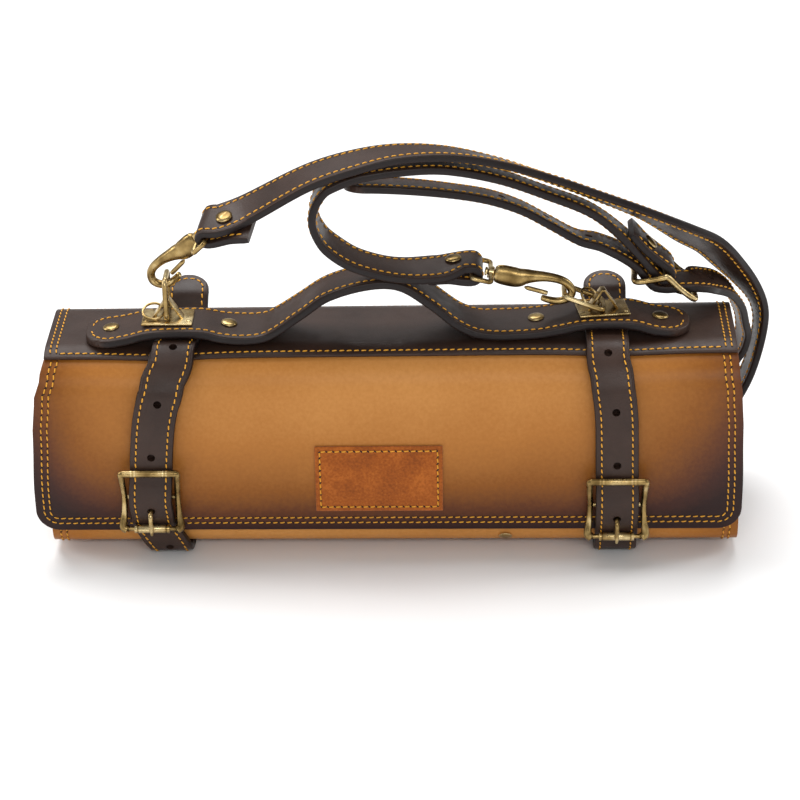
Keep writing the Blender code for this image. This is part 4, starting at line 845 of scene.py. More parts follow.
def leather_band(name, rows, width, thickness, start_round=0.0, end_round=0.0, wide_at=None, holes=(),
                 stitch_inset=3.6 * MM, node=None):
    """A strap with soft painted edges, punched holes and a stitch row inside both edges."""
    route = smooth_route(rows, FINE_STEP, FINE_TURN)
    frames = frames_along(route)
    length = frames[-1][3]
    gones = {round(f[3], 6) for f in frames}
    if start_round:
        gones |= {round(start_round * share, 6) for share in TIP_SHARES}
    if end_round:
        gones |= {round(length - end_round * share, 6) for share in TIP_SHARES}
    gones = sorted(gones)
    rings, maps = [], []
    for gone in gones:
        here, wide, face = at_distance(frames, gone)
        full = wide_at(here) if wide_at else width / 2
        half = max(half_at(frames, gone, full, start_round, end_round), 0.8 * MM)
        thick = thickness / 2 * (0.8 if gone in (gones[0], gones[-1]) else 1.0)
        rings.append([here + wide * (half * u) + face * (thick * w) for u, w in EDGE])
        maps.append([(gone, (1 if u > 0 else -1) * (1 - (full - half * abs(u)) / full)) for u, w in EDGE])
    points, faces = loft(rings)
    mesh = smooth_mesh(name, points, faces, 60)
    flat = [m for ring in maps for m in ring]
    layer = mesh.uv_layers.new(name="strap_map")
    for loop in mesh.loops:
        layer.data[loop.index].uv = flat[loop.vertex_index]
    for place_at in holes:
        here, wide, face = at_distance(frames, place_at)
        rod = [(0, 8 * MM), (HOLE_RADIUS, 8 * MM), (HOLE_RADIUS, -8 * MM), (0, -8 * MM)]
        cutter = turned("cutter", rod, 24)
        cutter.transform(axes(here, wide, face))
        mesh = cut(mesh, cutter)
    piece(name, even_shade(mesh) if holes else mesh, DARK, stands_for=(node or name,))
    spots = []
    for side in (-1, 1):
        for out_side in (1, -1):
            path = []
            steps = int(length / MM)
            for k in range(steps + 1):
                gone = stitch_inset + (length - 2 * stitch_inset) * k / steps
                here, wide, face = at_distance(frames, gone)
                full = (wide_at(here) if wide_at else width / 2) - stitch_inset
                half = half_at(frames, gone, full, start_round, end_round, stitch_inset)
                out = face * out_side
                path.append((here + wide * (half * side) + out * (thickness / 2 * 1.02), out))
            spots += spaced(path)
    sew(name, spots)
    return frames


def cut(mesh, cutter):
    """The mesh with the cutter's space taken out of it."""
    body, tool = bpy.data.objects.new("cut_body", mesh), bpy.data.objects.new("cut_tool", cutter)
    for obj in (body, tool):
        bpy.context.scene.collection.objects.link(obj)
    step = body.modifiers.new("cut", "BOOLEAN")
    step.operation, step.object, step.solver = "DIFFERENCE", tool, "EXACT"
    graph = bpy.context.evaluated_depsgraph_get()
    result = bpy.data.meshes.new_from_object(body.evaluated_get(graph))
    for obj in (body, tool):
        bpy.data.objects.remove(obj)
    return result


def even_shade(mesh):
    """The mesh with shading that stays flat round its holes."""
    mesh.set_sharp_from_angle(angle=math.radians(45))
    body = bpy.data.objects.new("shade_body", mesh)
    bpy.context.scene.collection.objects.link(body)
    step = body.modifiers.new("shade", "WEIGHTED_NORMAL")
    step.keep_sharp = True
    graph = bpy.context.evaluated_depsgraph_get()
    result = bpy.data.meshes.new_from_object(body.evaluated_get(graph))
    bpy.data.objects.remove(body)
    return result


print("strap maker ready")

# %% [markdown]
# The roll, the panel and the patch are flat leather bent into a surface. A grid of points gives the
# surface, and two of Blender's own tools give it thickness and a softened rim.

# %% Sheet maker
def leather_sheet(name, grid, thickness, finish, outward, burnish_shade_rows=None, maps=None, node=None):
    """A curved sheet of leather made solid, with its rim softened."""
    columns = len(grid[0])
    mesh = bpy.data.meshes.new(name)
    faces = [(i * columns + j, i * columns + j + 1, (i + 1) * columns + j + 1, (i + 1) * columns + j)
             for i in range(len(grid) - 1) for j in range(columns - 1)]
    mesh.from_pydata([tuple(p) for row in grid for p in row], [], faces)
    # one darkening number per point: burnish, with painted shade toward the foot of the roll's front
    if burnish_shade_rows:
        layer = mesh.attributes.new("burnish", "FLOAT", "POINT")
        layer.data.foreach_set("value", [b for row in burnish_shade_rows for b in row])
    if maps:
        flat = [m for row in maps for m in row]
        layer = mesh.uv_layers.new(name="strap_map")
        for loop in mesh.loops:
            layer.data[loop.index].uv = flat[loop.vertex_index]
    obj = bpy.data.objects.new("sheet_work", mesh)
    bpy.context.scene.collection.objects.link(obj)
    solid = obj.modifiers.new("leather", "SOLIDIFY")
    solid.thickness, solid.offset, solid.use_even_offset = thickness, (1.0 if outward else -1.0), True
    soft = obj.modifiers.new("rim", "BEVEL")
    soft.width, soft.segments, soft.limit_method = thickness * 0.28, 2, "ANGLE"
    soft.angle_limit = math.radians(60)
    graph = bpy.context.evaluated_depsgraph_get()
    result = bpy.data.meshes.new_from_object(obj.evaluated_get(graph))
    bpy.data.objects.remove(obj)
    result.shade_smooth()
    result.set_sharp_from_angle(angle=math.radians(50))
    return piece(name, result, finish, stands_for=(node or name,))


print("sheet maker ready")

# %% [markdown]
# ## The roll
# One long sheet makes the whole body. It starts at the flap's edge on the front, goes up and over,
# down the back, under, and in behind its own flap. The corner points carry its darkening number: the
# craftsperson rubbed the left third, the right end and every edge darker than the middle, and toward
# the foot of the front the darkening is partly burnish and partly painted shade.

# %% Roll of burnished leather, with painted shade toward the foot of the front
def burnish_and_shade_at(turn, x, from_edge):
    """How dark the sheet is at a place: burnish at the ends and edges, burnish with painted shade toward the
    foot of the front, and a little darker over the back and underside.
    """
    left = math.exp(-max(HALF_LENGTH + x, 0) / (27 * MM))
    right = math.exp(-max(HALF_LENGTH - x, 0) / (38 * MM))
    dark = 0.12 + 0.56 * left + 0.58 * right
    if turn < 4:
        # darker toward the foot of the front: partly burnish, partly painted shade where less light falls
        low = max(0.0, 1 - turn)
        dark += 0.42 * low * low + 0.1 * low + 0.2 * low * (left + right)
        dark += 0.34 * math.exp(-from_edge / (12 * MM))
    elif turn < 6.6:
        dark += 0.15
    else:
        dark = 0.04 + 0.4 * left + 0.4 * right
    return min(dark, 1.0)


def make_roll():
    front = roll_top(0) - TOP_RADIUS - ROLL_BASE - BOTTOM_RADIUS
    turns = [FLAP_CORNER * s / front for s in (0.0, 0.03, 0.1, 0.2, 0.35, 0.5, 0.7, 0.85)]
    turn = FLAP_CORNER / front
    while turn < ROLL_END:
        turns.append(turn)
        turn += 0.125 if math.floor(turn) % 2 else 0.09
    turns.append(ROLL_END)
    shares = [k / 56 for k in range(-56, 57)]
    shares = [-1, -0.993] + shares[1:-1] + [0.993, 1]
    grid, burnish_shade_rows = [], []
    for turn in turns:
        columns = [sheet_x(turn, share, turn * front) for share in shares]
        grid.append([section(turn, x, -layer_inset(turn))[0] for x in columns])
        burnish_shade_rows.append([burnish_and_shade_at(turn, x, turn * front) for x in columns])
    leather_sheet("roll_leather", grid, LEATHER, TAN, False, burnish_shade_rows=burnish_shade_rows, node="roll_body")
    return front


FRONT = make_roll()


def flap_row(inset):
    """Places of one stitch row, down the left side, along the edge and up the right side."""
    path = []
    corner = FLAP_CORNER - inset
    for k in range(0, 181):
        height = 128 * MM - (128 * MM - FLAP_CORNER) * k / 180
        path.append((-1, height, 0.0))
    for k in range(1, 13):
        a = math.pi / 2 * k / 12
        path.append((-1, FLAP_CORNER - corner * math.sin(a), corner * (1 - math.cos(a))))
    for k in range(1, 240):
        path.append((k / 120 - 1, inset, None))
    for k in range(12, -1, -1):
        a = math.pi / 2 * k / 12
        path.append((1, FLAP_CORNER - corner * math.sin(a), corner * (1 - math.cos(a))))
    for k in range(179, -1, -1):
        path.append((1, 128 * MM - (128 * MM - FLAP_CORNER) * k / 180, 0.0))
    rows = []
    for side, from_edge, inward in path:
        turn = from_edge / FRONT
        if from_edge >= FRONT:
            turn = 1 + (from_edge - FRONT) / (TOP_RADIUS * math.pi / 2)
        if turn > PANEL_FRONT:
            continue
        edge = HALF_LENGTH * read_rows(SHEET_WIDTHS, turn, 1 if side < 0 else 2)
        if inward is None:
            x = side * (edge - FLAP_CORNER)
        else:
            x = (1 if side > 0 else -1) * (edge - inset - inward)
        here, out = section(turn, x, 0.05 * MM)
        rows.append((here, out))
    return rows


sew("flap_seam", spaced(flap_row(5 * MM)) + spaced(flap_row(8.6 * MM)))


def under_row(end, inset):
    """Stitches on the layer under the flap, across the roll near one end."""
    rows = []
    for k in range(61):
        turn = 6.4 + 2.0 * k / 60
        edge = HALF_LENGTH * read_rows(SHEET_WIDTHS, turn, 1 if end < 0 else 2)
        rows.append(section(turn, end * (edge - inset), 0.05 * MM - layer_inset(turn)))
    return spaced(rows)


under_spots = []
for end in (-1, 1):
    under_spots += under_row(end, 5 * MM) + under_row(end, 8.6 * MM)
sew("under_seam", under_spots)
print("pieces so far:", len(made))

# %% [markdown]
# The dark panel over the top takes the wear of the buckle straps and carries the handle. It is sewn
# with two rows at each end and one along its front and back. The bare patch is sewn all round.

# %% Top panel and bare patch
def make_panel():
    grid, maps = [], []
    for i in range(41):
        turn = PANEL_FRONT + (PANEL_BACK - PANEL_FRONT) * i / 40
        columns = [sheet_x(2, k / 60, FLAP_CORNER) for k in range(-60, 61)]
        grid.append([section(turn, x, TOUCH_GAP)[0] for x in columns])
        maps.append([(x, 0.0) for x in columns])
    leather_sheet("panel_leather", grid, PANEL_LEATHER, DARK, True, maps=maps, node="top_panel")
    spots = []
    lift = PANEL_TOP + 0.05 * MM
    for end in (-1, 1):
        for inset in (3.6 * MM, 7.2 * MM):
            rows = []
            for i in range(81):
                turn = PANEL_FRONT + 0.08 + (PANEL_BACK - PANEL_FRONT - 0.16) * i / 80
                rows.append(section(turn, end * (abs(sheet_x(2, end, FLAP_CORNER)) - inset), lift))
            spots += spaced(rows)
    for turn in (PANEL_FRONT + 0.085, PANEL_BACK - 0.04):
        rows = [section(turn, sheet_x(2, k / 200, FLAP_CORNER) * 0.955, lift) for k in range(-200, 201)]
        spots += spaced(rows)
    sew("panel_seam", spots)


def make_patch():
    grid = []
    for i in range(25):
        turn = front_turn(PATCH_BASE + PATCH_HEIGHT * i / 24, PATCH_CENTRE_X)
        columns = [PATCH_CENTRE_X + PATCH_WIDTH * j / 40 for j in range(-20, 21)]
        grid.append([section(turn, x, TOUCH_GAP)[0] for x in columns])
    leather_sheet("patch_leather_bare", grid, PATCH_LEATHER, PATCH, True, node="name_patch")
    inset = 3.0 * MM
    half, low, high = PATCH_WIDTH / 2 - inset, PATCH_BASE + inset, PATCH_BASE + PATCH_HEIGHT - inset
    corners = [(-half, low), (half, low), (half, high), (-half, high), (-half, low)]
    spots = []
    for (x0, z0), (x1, z1) in zip(corners, corners[1:]):
        rows = []
        for k in range(31):
            x, z = x0 + (x1 - x0) * k / 30, z0 + (z1 - z0) * k / 30
            rows.append(section(front_turn(z, PATCH_CENTRE_X), PATCH_CENTRE_X + x,
                                TOUCH_GAP + PATCH_LEATHER + 0.05 * MM))
        spots += spaced(rows, 4.0 * MM)
    sew("patch_seam", spots)


make_panel()
make_patch()
print("pieces so far:", len(made))

# %% [markdown]
# ## Buckle straps and their buckles
# Each buckle strap goes under the roll, up the front, through the roller buckle and over the top.
# A short holder strap wraps the buckle's middle bar. Both follow the same routes as the solids.

# %% Routes of the buckle straps
HOLDER_OUT = TOUCH_GAP + HOLDER_LEATHER / 2
BAR_OUT = 2 * TOUCH_GAP + HOLDER_LEATHER + BUCKLE_BAR
WRAP_RADIUS = BUCKLE_BAR + TOUCH_GAP + HOLDER_LEATHER / 2
OVER_BAR = BAR_OUT + WRAP_RADIUS + HOLDER_LEATHER / 2 + TOUCH_GAP + STRAP_LEATHER / 2
BEHIND_TOP_BAR = HOLDER_OUT + HOLDER_LEATHER / 2 + 3 * TOUCH_GAP + STRAP_LEATHER / 2
BEHIND_ROLLER = TOUCH_GAP + STRAP_LEATHER / 2 + 2.2 * MM
TOP_BAR_OUT = BEHIND_TOP_BAR + STRAP_LEATHER / 2 + TOUCH_GAP + BUCKLE_WIRE
ROLLER_OUT = BEHIND_ROLLER + STRAP_LEATHER / 2 + 3 * TOUCH_GAP + ROLLER_OUTER
BAR_SPAN = BUCKLE_HEIGHT / 2 - BUCKLE_WIRE
def buckle_frame_at(middle, sway, height):
    """The frame of a buckle: origin on its centre bar, X along it, Z up, -Y facing out."""
    turn = front_turn(height, middle)
    x = middle + STRAP_WIDTH * read_rows(sway, turn)
    return Matrix.Translation(section(turn, x, BAR_OUT)[0]), turn



def strap_rows(middle, sway, height):
    """Route of a free buckle strap, from its tip behind the handle to its end at the back."""
    frame, bar_turn = buckle_frame_at(middle, sway, height)
    rise = roll_top(middle) - TOP_RADIUS - ROLL_BASE - BOTTOM_RADIUS
    on_panel = PANEL_TOP + 1.5 * TOUCH_GAP + STRAP_LEATHER / 2
    on_roll = TOUCH_GAP + STRAP_LEATHER / 2
    over_holder = PANEL_TOP + 6 * TOUCH_GAP + HOLDER_LEATHER + STRAP_LEATHER / 2
    reach = BAR_SPAN / rise
    table = [
        (3.2, on_panel + 16 * MM), (3.0, on_panel + 9.5 * MM), (2.9, on_panel + 4.2 * MM),
        (2.8, on_panel + 0.3 * MM), (2.6, on_panel), (2.3, on_panel), (1.95, on_panel + 0.5 * MM),
        (1.75, over_holder), (1.5, over_holder), (1.33, over_holder), (1.15, over_holder + 0.7 * MM),
        (1.0, over_holder + 0.4 * MM), (0.85, over_holder - 0.5 * MM),
        (bar_turn + reach * 1.3, BEHIND_TOP_BAR), (bar_turn + reach, BEHIND_TOP_BAR),
        (bar_turn + reach * 0.5, (BEHIND_TOP_BAR + OVER_BAR) / 2 + 1.2 * MM), (bar_turn, OVER_BAR),
        (bar_turn - reach * 0.5, (BEHIND_ROLLER + OVER_BAR) / 2 + 0.8 * MM),
        (bar_turn - reach, BEHIND_ROLLER),
        (-0.45, on_roll), (-0.75, on_roll), (-0.9, on_roll), (-1.0, on_roll), (-1.06, on_roll),
        (-1.94, on_roll), (-2.0, on_roll), (-2.1, on_roll + 0.1 * MM), (-2.3, on_roll + 0.35 * MM),
        (-2.55, on_roll + 0.4 * MM), (-3.0, on_roll + 0.3 * MM), (-3.5, on_roll + 0.2 * MM),
        (-4.0, on_roll + 0.4 * MM), (-4.35, on_roll + 0.4 * MM),
    ]
    rows = []
    for turn, out in table:
        x = middle + STRAP_WIDTH * read_rows(sway, turn)
        rows.append((section(turn, x, out)[0], Vector((1, 0, 0))))
    return rows


def holder_rows(place_of, middle, sway, height):
    """Rows of the short strap that wraps the buckle's middle bar."""
    strap_x = Vector((1, 0, 0))
    up, out = Vector((0, 0, 1)), Vector((0, -1, 0))
    rows = []
    raised = PANEL_TOP + 0.8 * MM
    for turn, lift in ((1.72, raised), (1.6, raised), (1.45, raised), (1.3, raised), (1.2, 1.1 * PANEL_TOP),
                       (1.1, 0.5 * PANEL_TOP), (1.0, 0.3 * PANEL_TOP), (0.85, 0.2 * MM), (0.72, 0.2 * MM),
                       (0.6, 0.2 * MM), (0.51, 0.2 * MM)):
        x = place_of.x + (middle + STRAP_WIDTH * read_rows(sway, turn) - place_of.x) * 0.85
        rows.append((section(turn, x, HOLDER_OUT + lift)[0], strap_x))
    tail = HOLDER_LENGTH_BELOW
    layered = HOLDER_OUT + HOLDER_LEATHER + TOUCH_GAP

    def on_front(above, reach_out):
        return section(front_turn(height + above, middle), place_of.x, reach_out)[0]

    rows += [(on_front(tail * 1.42, HOLDER_OUT + 0.9 * MM), strap_x)]
    rows += [(on_front(tail * 1.05, layered), strap_x)]
    for z, y in ((0.35 * tail, WRAP_RADIUS * 0.82), (0, WRAP_RADIUS),
                 (-0.71 * WRAP_RADIUS, 0.71 * WRAP_RADIUS),
                 (-WRAP_RADIUS, 0), (-0.71 * WRAP_RADIUS, -0.71 * WRAP_RADIUS), (0, -WRAP_RADIUS)):
        rows.append((place_of + up * z + out * y, strap_x))
    rows += [(on_front(tail * 0.45, HOLDER_OUT), strap_x), (on_front(tail, HOLDER_OUT), strap_x)]
    return rows


print("strap reaches over the bar by", round(OVER_BAR / MM, 1), "mm")

# %% [markdown]
# The buckle is cast: a thick top bar, two waisted rails and a thinner bar inside a turned roller.
# Its prong is a bent pin that comes through a hole and rests on the roller.

# %% Make both buckles
def make_buckle(side, middle, sway, height):
    frame, bar_turn = buckle_frame_at(middle, sway, height)
    place_of = frame.translation
    half, span = BUCKLE_WIDTH / 2 - BUCKLE_WIRE, BAR_SPAN
    top_y = section(front_turn(height + span, middle), place_of.x, TOP_BAR_OUT)[0].y - place_of.y
    low_y = section(front_turn(height - span, middle), place_of.x, ROLLER_OUT)[0].y - place_of.y
    rail = [(half * 0.99, top_y * 0.98, span * 0.96, 1.1), (half * 0.985, top_y * 0.85, span * 0.8, 1.0),
            (half * 0.96, top_y * 0.5, span * 0.4, 0.92),
            (half * 0.94, top_y * 0.25, 0, 0.92), (half * 0.97, low_y * 0.5, -span * 0.5, 1.0),
            (half * 1.02, low_y * 0.9, -span * 0.9, 1.3), (half * 0.9, low_y, -span * 1.01, 1.35),
            (half * 0.72, low_y, -span, 0.7)]
    rows = [(-half * 0.93, top_y, span, 1.12), (-half * 0.8, top_y, span, 1.12), (0, top_y, span, 1.12),
            (half * 0.8, top_y, span, 1.12), (half * 0.93, top_y, span, 1.12)] + rail
    rows += [(-x, y, z, r) for x, y, z, r in reversed(rail)]
    piece(f"buckle_{side}", tube("buckle", rows, BUCKLE_WIRE, closed=True, steps=6), BRASS, frame,
          stands_for=(f"buckle_frame_{side}",))
    lay = Matrix.Rotation(math.pi / 2, 4, "Y")
    # ribs cast along the top bar, and the middle bar under the holder
    for number, at in enumerate((-0.62, -0.5, 0.5, 0.62)):
        rib = [(BUCKLE_WIRE * 0.9, 0.8 * MM), (BUCKLE_WIRE * 1.14, 0.45 * MM),
               (BUCKLE_WIRE * 1.14, -0.45 * MM), (BUCKLE_WIRE * 0.9, -0.8 * MM)]
        piece(f"buckle_rib_{side}_{number}", turned("rib", rib, ring=True), BRASS,
              frame @ Matrix.Translation((half * at, top_y, span)) @ lay)
    bar = tube("bar", [(-half * 0.93, 0, 0), (half * 0.93, 0, 0)], BUCKLE_BAR)
    piece(f"buckle_bar_{side}", bar, BRASS, frame)
    wide = half * 0.62
    profile = [(ROLLER_OUTER * r, wide * z) for r, z in (
        (0.96, 1.0), (1.0, 0.97), (1.0, 0.86), (0.93, 0.84), (0.93, 0.78), (0.985, 0.76), (0.985, -0.76),
        (0.93, -0.78), (0.93, -0.84), (1.0, -0.86), (1.0, -0.97), (0.96, -1.0), (0.64, -1.0), (0.64, 1.0))]
    roller_at = Matrix.Translation(place_of + Vector((0, low_y, -span))) @ lay
    piece(f"roller_{side}", turned("roller", profile, ring=True), BRASS, roller_at,
          stands_for=(f"buckle_roller_{side}",))
    touch = ROLLER_OUTER + TOUCH_GAP + PRONG_RADIUS
    over = OVER_BAR - BAR_OUT + STRAP_LEATHER / 2 + TOUCH_GAP + PRONG_RADIUS
    prong = [(-0.23, -(WRAP_RADIUS + 0.4 * MM), 0.9), (-0.30, -over * 0.62, 1.0), (-0.40, -over * 0.97, 1.0),
             (-0.60, -over * 1.05, 1.0), (-0.85, low_y - touch * 1.02, 1.0), (-1.0, low_y - touch, 0.9),
             (-1.13, low_y - touch * 0.88, 0.55)]
    prong = [(0, y, z * span, r) for z, y, r in prong]
    piece(f"prong_{side}", tube("prong", prong, PRONG_RADIUS), BRASS, frame,
          stands_for=(f"buckle_prong_{side}",))
    holder = holder_rows(place_of, middle, sway, height)
    leather_band(f"holder_{side}", holder, HOLDER_WIDTH, HOLDER_LEATHER, node=f"buckle_holder_{side}")
    rows = strap_rows(middle, sway, height)
    route = smooth_route(rows, FINE_STEP, FINE_TURN)
    pierced = distance_to(route, place_of + Vector((0, -over * 0.6, -0.31 * span)))
    leather_band(f"strap_{side}", rows, STRAP_WIDTH, STRAP_LEATHER, start_round=STRAP_WIDTH / 2,
                 holes=[pierced - k * HOLE_PITCH for k in range(-1, 5)], node=f"buckle_strap_{side}")


make_buckle("left", LEFT_STRAP_X, LEFT_SWAY, LEFT_BUCKLE_Z)
make_buckle("right", RIGHT_STRAP_X, RIGHT_SWAY, RIGHT_BUCKLE_Z)
print("pieces so far:", len(made))

# %% [markdown]
# ## Carry handle
# The handle is one thick strap, pinched where the hand holds it and swept up into an arch. Four
# domed rivets go through it. Each rivet cap is turned: a low dome, a fine step and a thin rim.

# %% Handle and rivets
# Place as a share of the half length, lift over a buckle strap, lift of the arch, half width
HANDLE_ROWS = [
    (-1.00, 0.0, 0.0, 0.97), (-0.92, 0.05, 0.0, 0.97), (-0.86, 0.4, 0.0, 0.96), (-0.79, 1.0, 0.0, 0.94),
    (-0.70, 1.1, 0.0, 0.92), (-0.61, 1.0, 0.0, 0.94), (-0.55, 0.45, 0.0, 0.98), (-0.49, 0.2, 0.0, 1.0),
    (-0.43, 0.1, 0.02, 0.97), (-0.385, 0.0, 0.10, 0.93), (-0.29, 0.0, 0.44, 0.86), (-0.19, 0.0, 0.80, 0.80),
    (-0.05, 0.0, 1.0, 0.77), (0.045, 0.0, 0.96, 0.77), (0.145, 0.0, 0.60, 0.80), (0.235, 0.0, 0.20, 0.87),
    (0.30, 0.05, 0.04, 0.94), (0.38, 0.1, 0.0, 1.0), (0.50, 0.3, 0.0, 1.0), (0.57, 0.7, 0.0, 0.97),
    (0.64, 1.15, 0.0, 0.94), (0.72, 1.2, 0.0, 0.92), (0.81, 1.1, 0.0, 0.95), (0.88, 0.35, 0.0, 0.97),
    (0.94, 0.05, 0.0, 0.97), (1.00, 0.0, 0.0, 0.97),
]
RIVET_SHARES = (-0.917, -0.525, 0.493, 0.904)
def handle_middle(x):
    return HANDLE_CENTRE_Y + HANDLE_YAW * x




def handle_rows():
    across = Vector((-HANDLE_YAW, 1, 0))
    rows = []
    for share, strap_lift, arch_lift, _ in HANDLE_ROWS:
        x = share * HANDLE_HALF_LENGTH
        low = roll_top(x) + PANEL_TOP + TOUCH_GAP
        low += strap_lift * (STRAP_LEATHER + TOUCH_GAP) + arch_lift * HANDLE_ARCH
        rows.append((Vector((x, handle_middle(x), low + HANDLE_LEATHER / 2)), across))
    return rows


HANDLE_ROUTE = smooth_route(handle_rows(), 14 * MM, 9)


def handle_top(x):
    """Height of the handle's upper face at a place along it."""
    for (p, _), (q, _) in zip(HANDLE_ROUTE, HANDLE_ROUTE[1:]):
        if p.x <= x <= q.x:
            return p.z + (q.z - p.z) * (x - p.x) / (q.x - p.x) + HANDLE_LEATHER / 2
    return HANDLE_ROUTE[0][0].z + HANDLE_LEATHER / 2


def handle_wide_at(here):
    return HANDLE_HALF_WIDTH * read_rows(HANDLE_ROWS, here.x / HANDLE_HALF_LENGTH, 3)


end_round = HANDLE_HALF_WIDTH * 0.8
leather_band("handle", handle_rows(), HANDLE_HALF_WIDTH * 2, HANDLE_LEATHER, start_round=end_round,
             end_round=end_round, wide_at=handle_wide_at, node="carry_handle")


def rivet_cap(name, seat, node, radius=RIVET_RADIUS, height=RIVET_HEIGHT, lift=1.5 * TOUCH_GAP):
    """A domed cap with a step and a rim, standing on its seat."""
    profile = [(0, 1.0), (0.25, 0.985), (0.45, 0.94), (0.62, 0.87), (0.77, 0.76), (0.88, 0.6),
               (0.95, 0.42), (0.99, 0.24), (1.0, 0.1), (0.99, 0.0), (0, 0.0)]
    mesh = turned("rivet", [(r * radius, z * height) for r, z in profile])
    piece(name, mesh, BRASS, seat @ Matrix.Translation((0, 0, lift)), stands_for=(node,))


for number, share in enumerate(RIVET_SHARES, 1):
    x = share * HANDLE_HALF_LENGTH
    slope = (handle_top(x + 4 * MM) - handle_top(x - 4 * MM)) / (8 * MM)
    seat = axes(Vector((x, handle_middle(x), handle_top(x))), Vector((1, 0, slope)), Vector((0, 0, 1)))
    rivet_cap(f"rivet_cap_{number}", seat, f"handle_rivet_{number}")
stud_at, stud_out = section(7.55, STUD_X, -layer_inset(7.55) + TOUCH_GAP)
rivet_cap("stud_cap", axes(stud_at, Vector((1, 0, 0)), stud_out), "edge_stud", STUD_RADIUS, 1.0 * MM, 0)
print("pieces so far:", len(made))

# %% [markdown]
# ## Saddles and rings
# A saddle is a plate with a strip bent into a tent over the rings. Its edges are broken by filing,
# so both pieces are bevelled. The square ring and the small round ring are bent wire.

# %% Saddles and rings
def mount_frame(x, yaw):
    """Origin in the middle of a saddle's underside, on the handle."""
    half = PLATE_LENGTH / 2
    seat = max(handle_top(x + half * k / 4) for k in range(-4, 5)) + TOUCH_GAP
    return Matrix.Translation((x, handle_middle(x), seat)) @ Matrix.Rotation(math.radians(yaw), 4, "Z")


def ring_bar(frame):
    """The middle of a square ring's lower bar, inside the tent."""
    return frame @ Vector((0, 0, PLATE_THICKNESS + TOUCH_GAP + RING_WIRE))



def bevelled(points, faces, width):
    mesh = smooth_mesh("bevelled", points, faces, 20)
    work = bmesh.new()
    work.from_mesh(mesh)
    bmesh.ops.bevel(work, geom=work.edges[:] + work.verts[:], offset=width, segments=3, profile=0.6,
                    affect="EDGES", clamp_overlap=True)
    work.to_mesh(mesh)
    work.free()
    mesh.shade_smooth()
    mesh.set_sharp_from_angle(angle=math.radians(40))
    return mesh


def make_mount(side, frame):
    a, b, t = PLATE_LENGTH / 2, PLATE_DEPTH / 2, PLATE_THICKNESS
    box = [(x, y, z) for z in (0, t) for y in (-b, b) for x in (-a, a)]
    quads = [(0, 1, 3, 2), (4, 6, 7, 5), (0, 4, 5, 1), (2, 3, 7, 6), (0, 2, 6, 4), (1, 5, 7, 3)]
    piece(f"saddle_plate_{side}", bevelled(box, quads, 0.45 * MM), BRASS, frame,
          stands_for=(f"ring_mount_{side}",))
    half, high, thick = TENT_WIDTH / 2, t + TENT_HEIGHT, TENT_SHEET
    foot = t * 0.4
    outline = [(-half, foot), (-half * 0.12, high), (half * 0.12, high), (half, foot),
               (half - thick * 1.5, foot), (half * 0.05, high - thick), (-half * 0.05, high - thick),
               (-half + thick * 1.5, foot)]
    count = len(outline)
    points = [(x, y, z) for y in (-TENT_DEPTH / 2, TENT_DEPTH / 2) for x, z in outline]
    faces = [tuple(range(count)), tuple(range(2 * count - 1, count - 1, -1))]
    faces += [(k, (k + 1) % count, count + (k + 1) % count, count + k) for k in range(count)]
    piece(f"saddle_tent_{side}", bevelled(points, faces, 0.3 * MM), BRASS, frame)
    for number, x in enumerate((-1, 1)):
        pin = [(0, 0.55), (0.5, 0.5), (0.85, 0.3), (1.0, 0.0), (1.0, -0.3), (0, -0.3)]
        mesh = turned("pin", [(r * 1.5 * MM, z * MM) for r, z in pin], 24)
        piece(f"saddle_pin_{side}_{number}", mesh, BRASS,
              frame @ Matrix.Translation((x * PLATE_LENGTH * 0.42, -PLATE_DEPTH * 0.3, t)))


def corner_rows(places, bend, steps=6):
    """A rounded outline: each corner's middle and quarter turn, as points of an arc."""
    points = []
    for cx, cy, quarter in places:
        for k in range(steps + 1):
            turn = (quarter + k / steps) * math.pi / 2
            points.append((cx + bend * math.cos(turn), cy + bend * math.sin(turn), 0))
    return points


def make_square_ring(side, start, lean, across):
    half, length, bend = RING_WIDTH / 2, RING_LENGTH, 3.2 * MM
    points = corner_rows(((length - bend, half - bend, 0), (bend, half - bend, 1),
                          (bend, -half + bend, 2), (length - bend, -half + bend, 3)), bend)
    piece(f"ring_square_{side}", tube("ring", points, RING_WIRE, closed=True, steps=1), BRASS,
          axes(start, lean, lean.cross(across)), stands_for=(f"square_ring_{side}",))


def make_round_ring(side, frame, middle, tilt, lean):
    middle = frame @ Vector((middle[0] * TENT_WIDTH, middle[1] * TENT_DEPTH,
                             PLATE_THICKNESS + middle[2] * TENT_HEIGHT))
    turn = frame.to_3x3().to_4x4() @ Matrix.Rotation(math.radians(tilt), 4, "X") @ Matrix.Rotation(
        math.radians(lean), 4, "Y")
    points = [(ROUND_RING_RADIUS * math.cos(a), ROUND_RING_RADIUS * math.sin(a), 0)
              for a in (2 * math.pi * k / 48 for k in range(48))]
    piece(f"ring_round_{side}", tube("ring", points, ROUND_RING_WIRE, closed=True, steps=1, sides=14), BRASS,
          Matrix.Translation(middle) @ turn, stands_for=(f"round_ring_{side}",))


left_mount, right_mount = mount_frame(MOUNT_LEFT_X, 0.0), mount_frame(MOUNT_RIGHT_X, MOUNT_RIGHT_YAW)
make_mount("left", left_mount)
make_mount("right", right_mount)
left_start, right_start = ring_bar(left_mount), ring_bar(right_mount)
left_lean, right_lean = Vector((0, 0, 1)), Vector((-0.93, 0, 0.37)).normalized()
make_square_ring("left", left_start, left_lean, Vector((0, 1, 0)))
make_square_ring("right", right_start, right_lean, Vector((0, 1, 0)))
make_round_ring("left", left_mount, (-0.42, 0, 0.28), 22, 0)
make_round_ring("right", right_mount, (-0.365, 0.08, 0.57), 30, 30)
print("pieces so far:", len(made))

# %% [markdown]
# ## Snap hooks
# The body of a snap hook is cast in one flowing shape: a headed post that turns in the swivel, a
# full neck, and a nose that sweeps round to meet the sprung gate. Rings of points are lofted
# through the same stations as the solid, softened in between. The hook and its gate move.

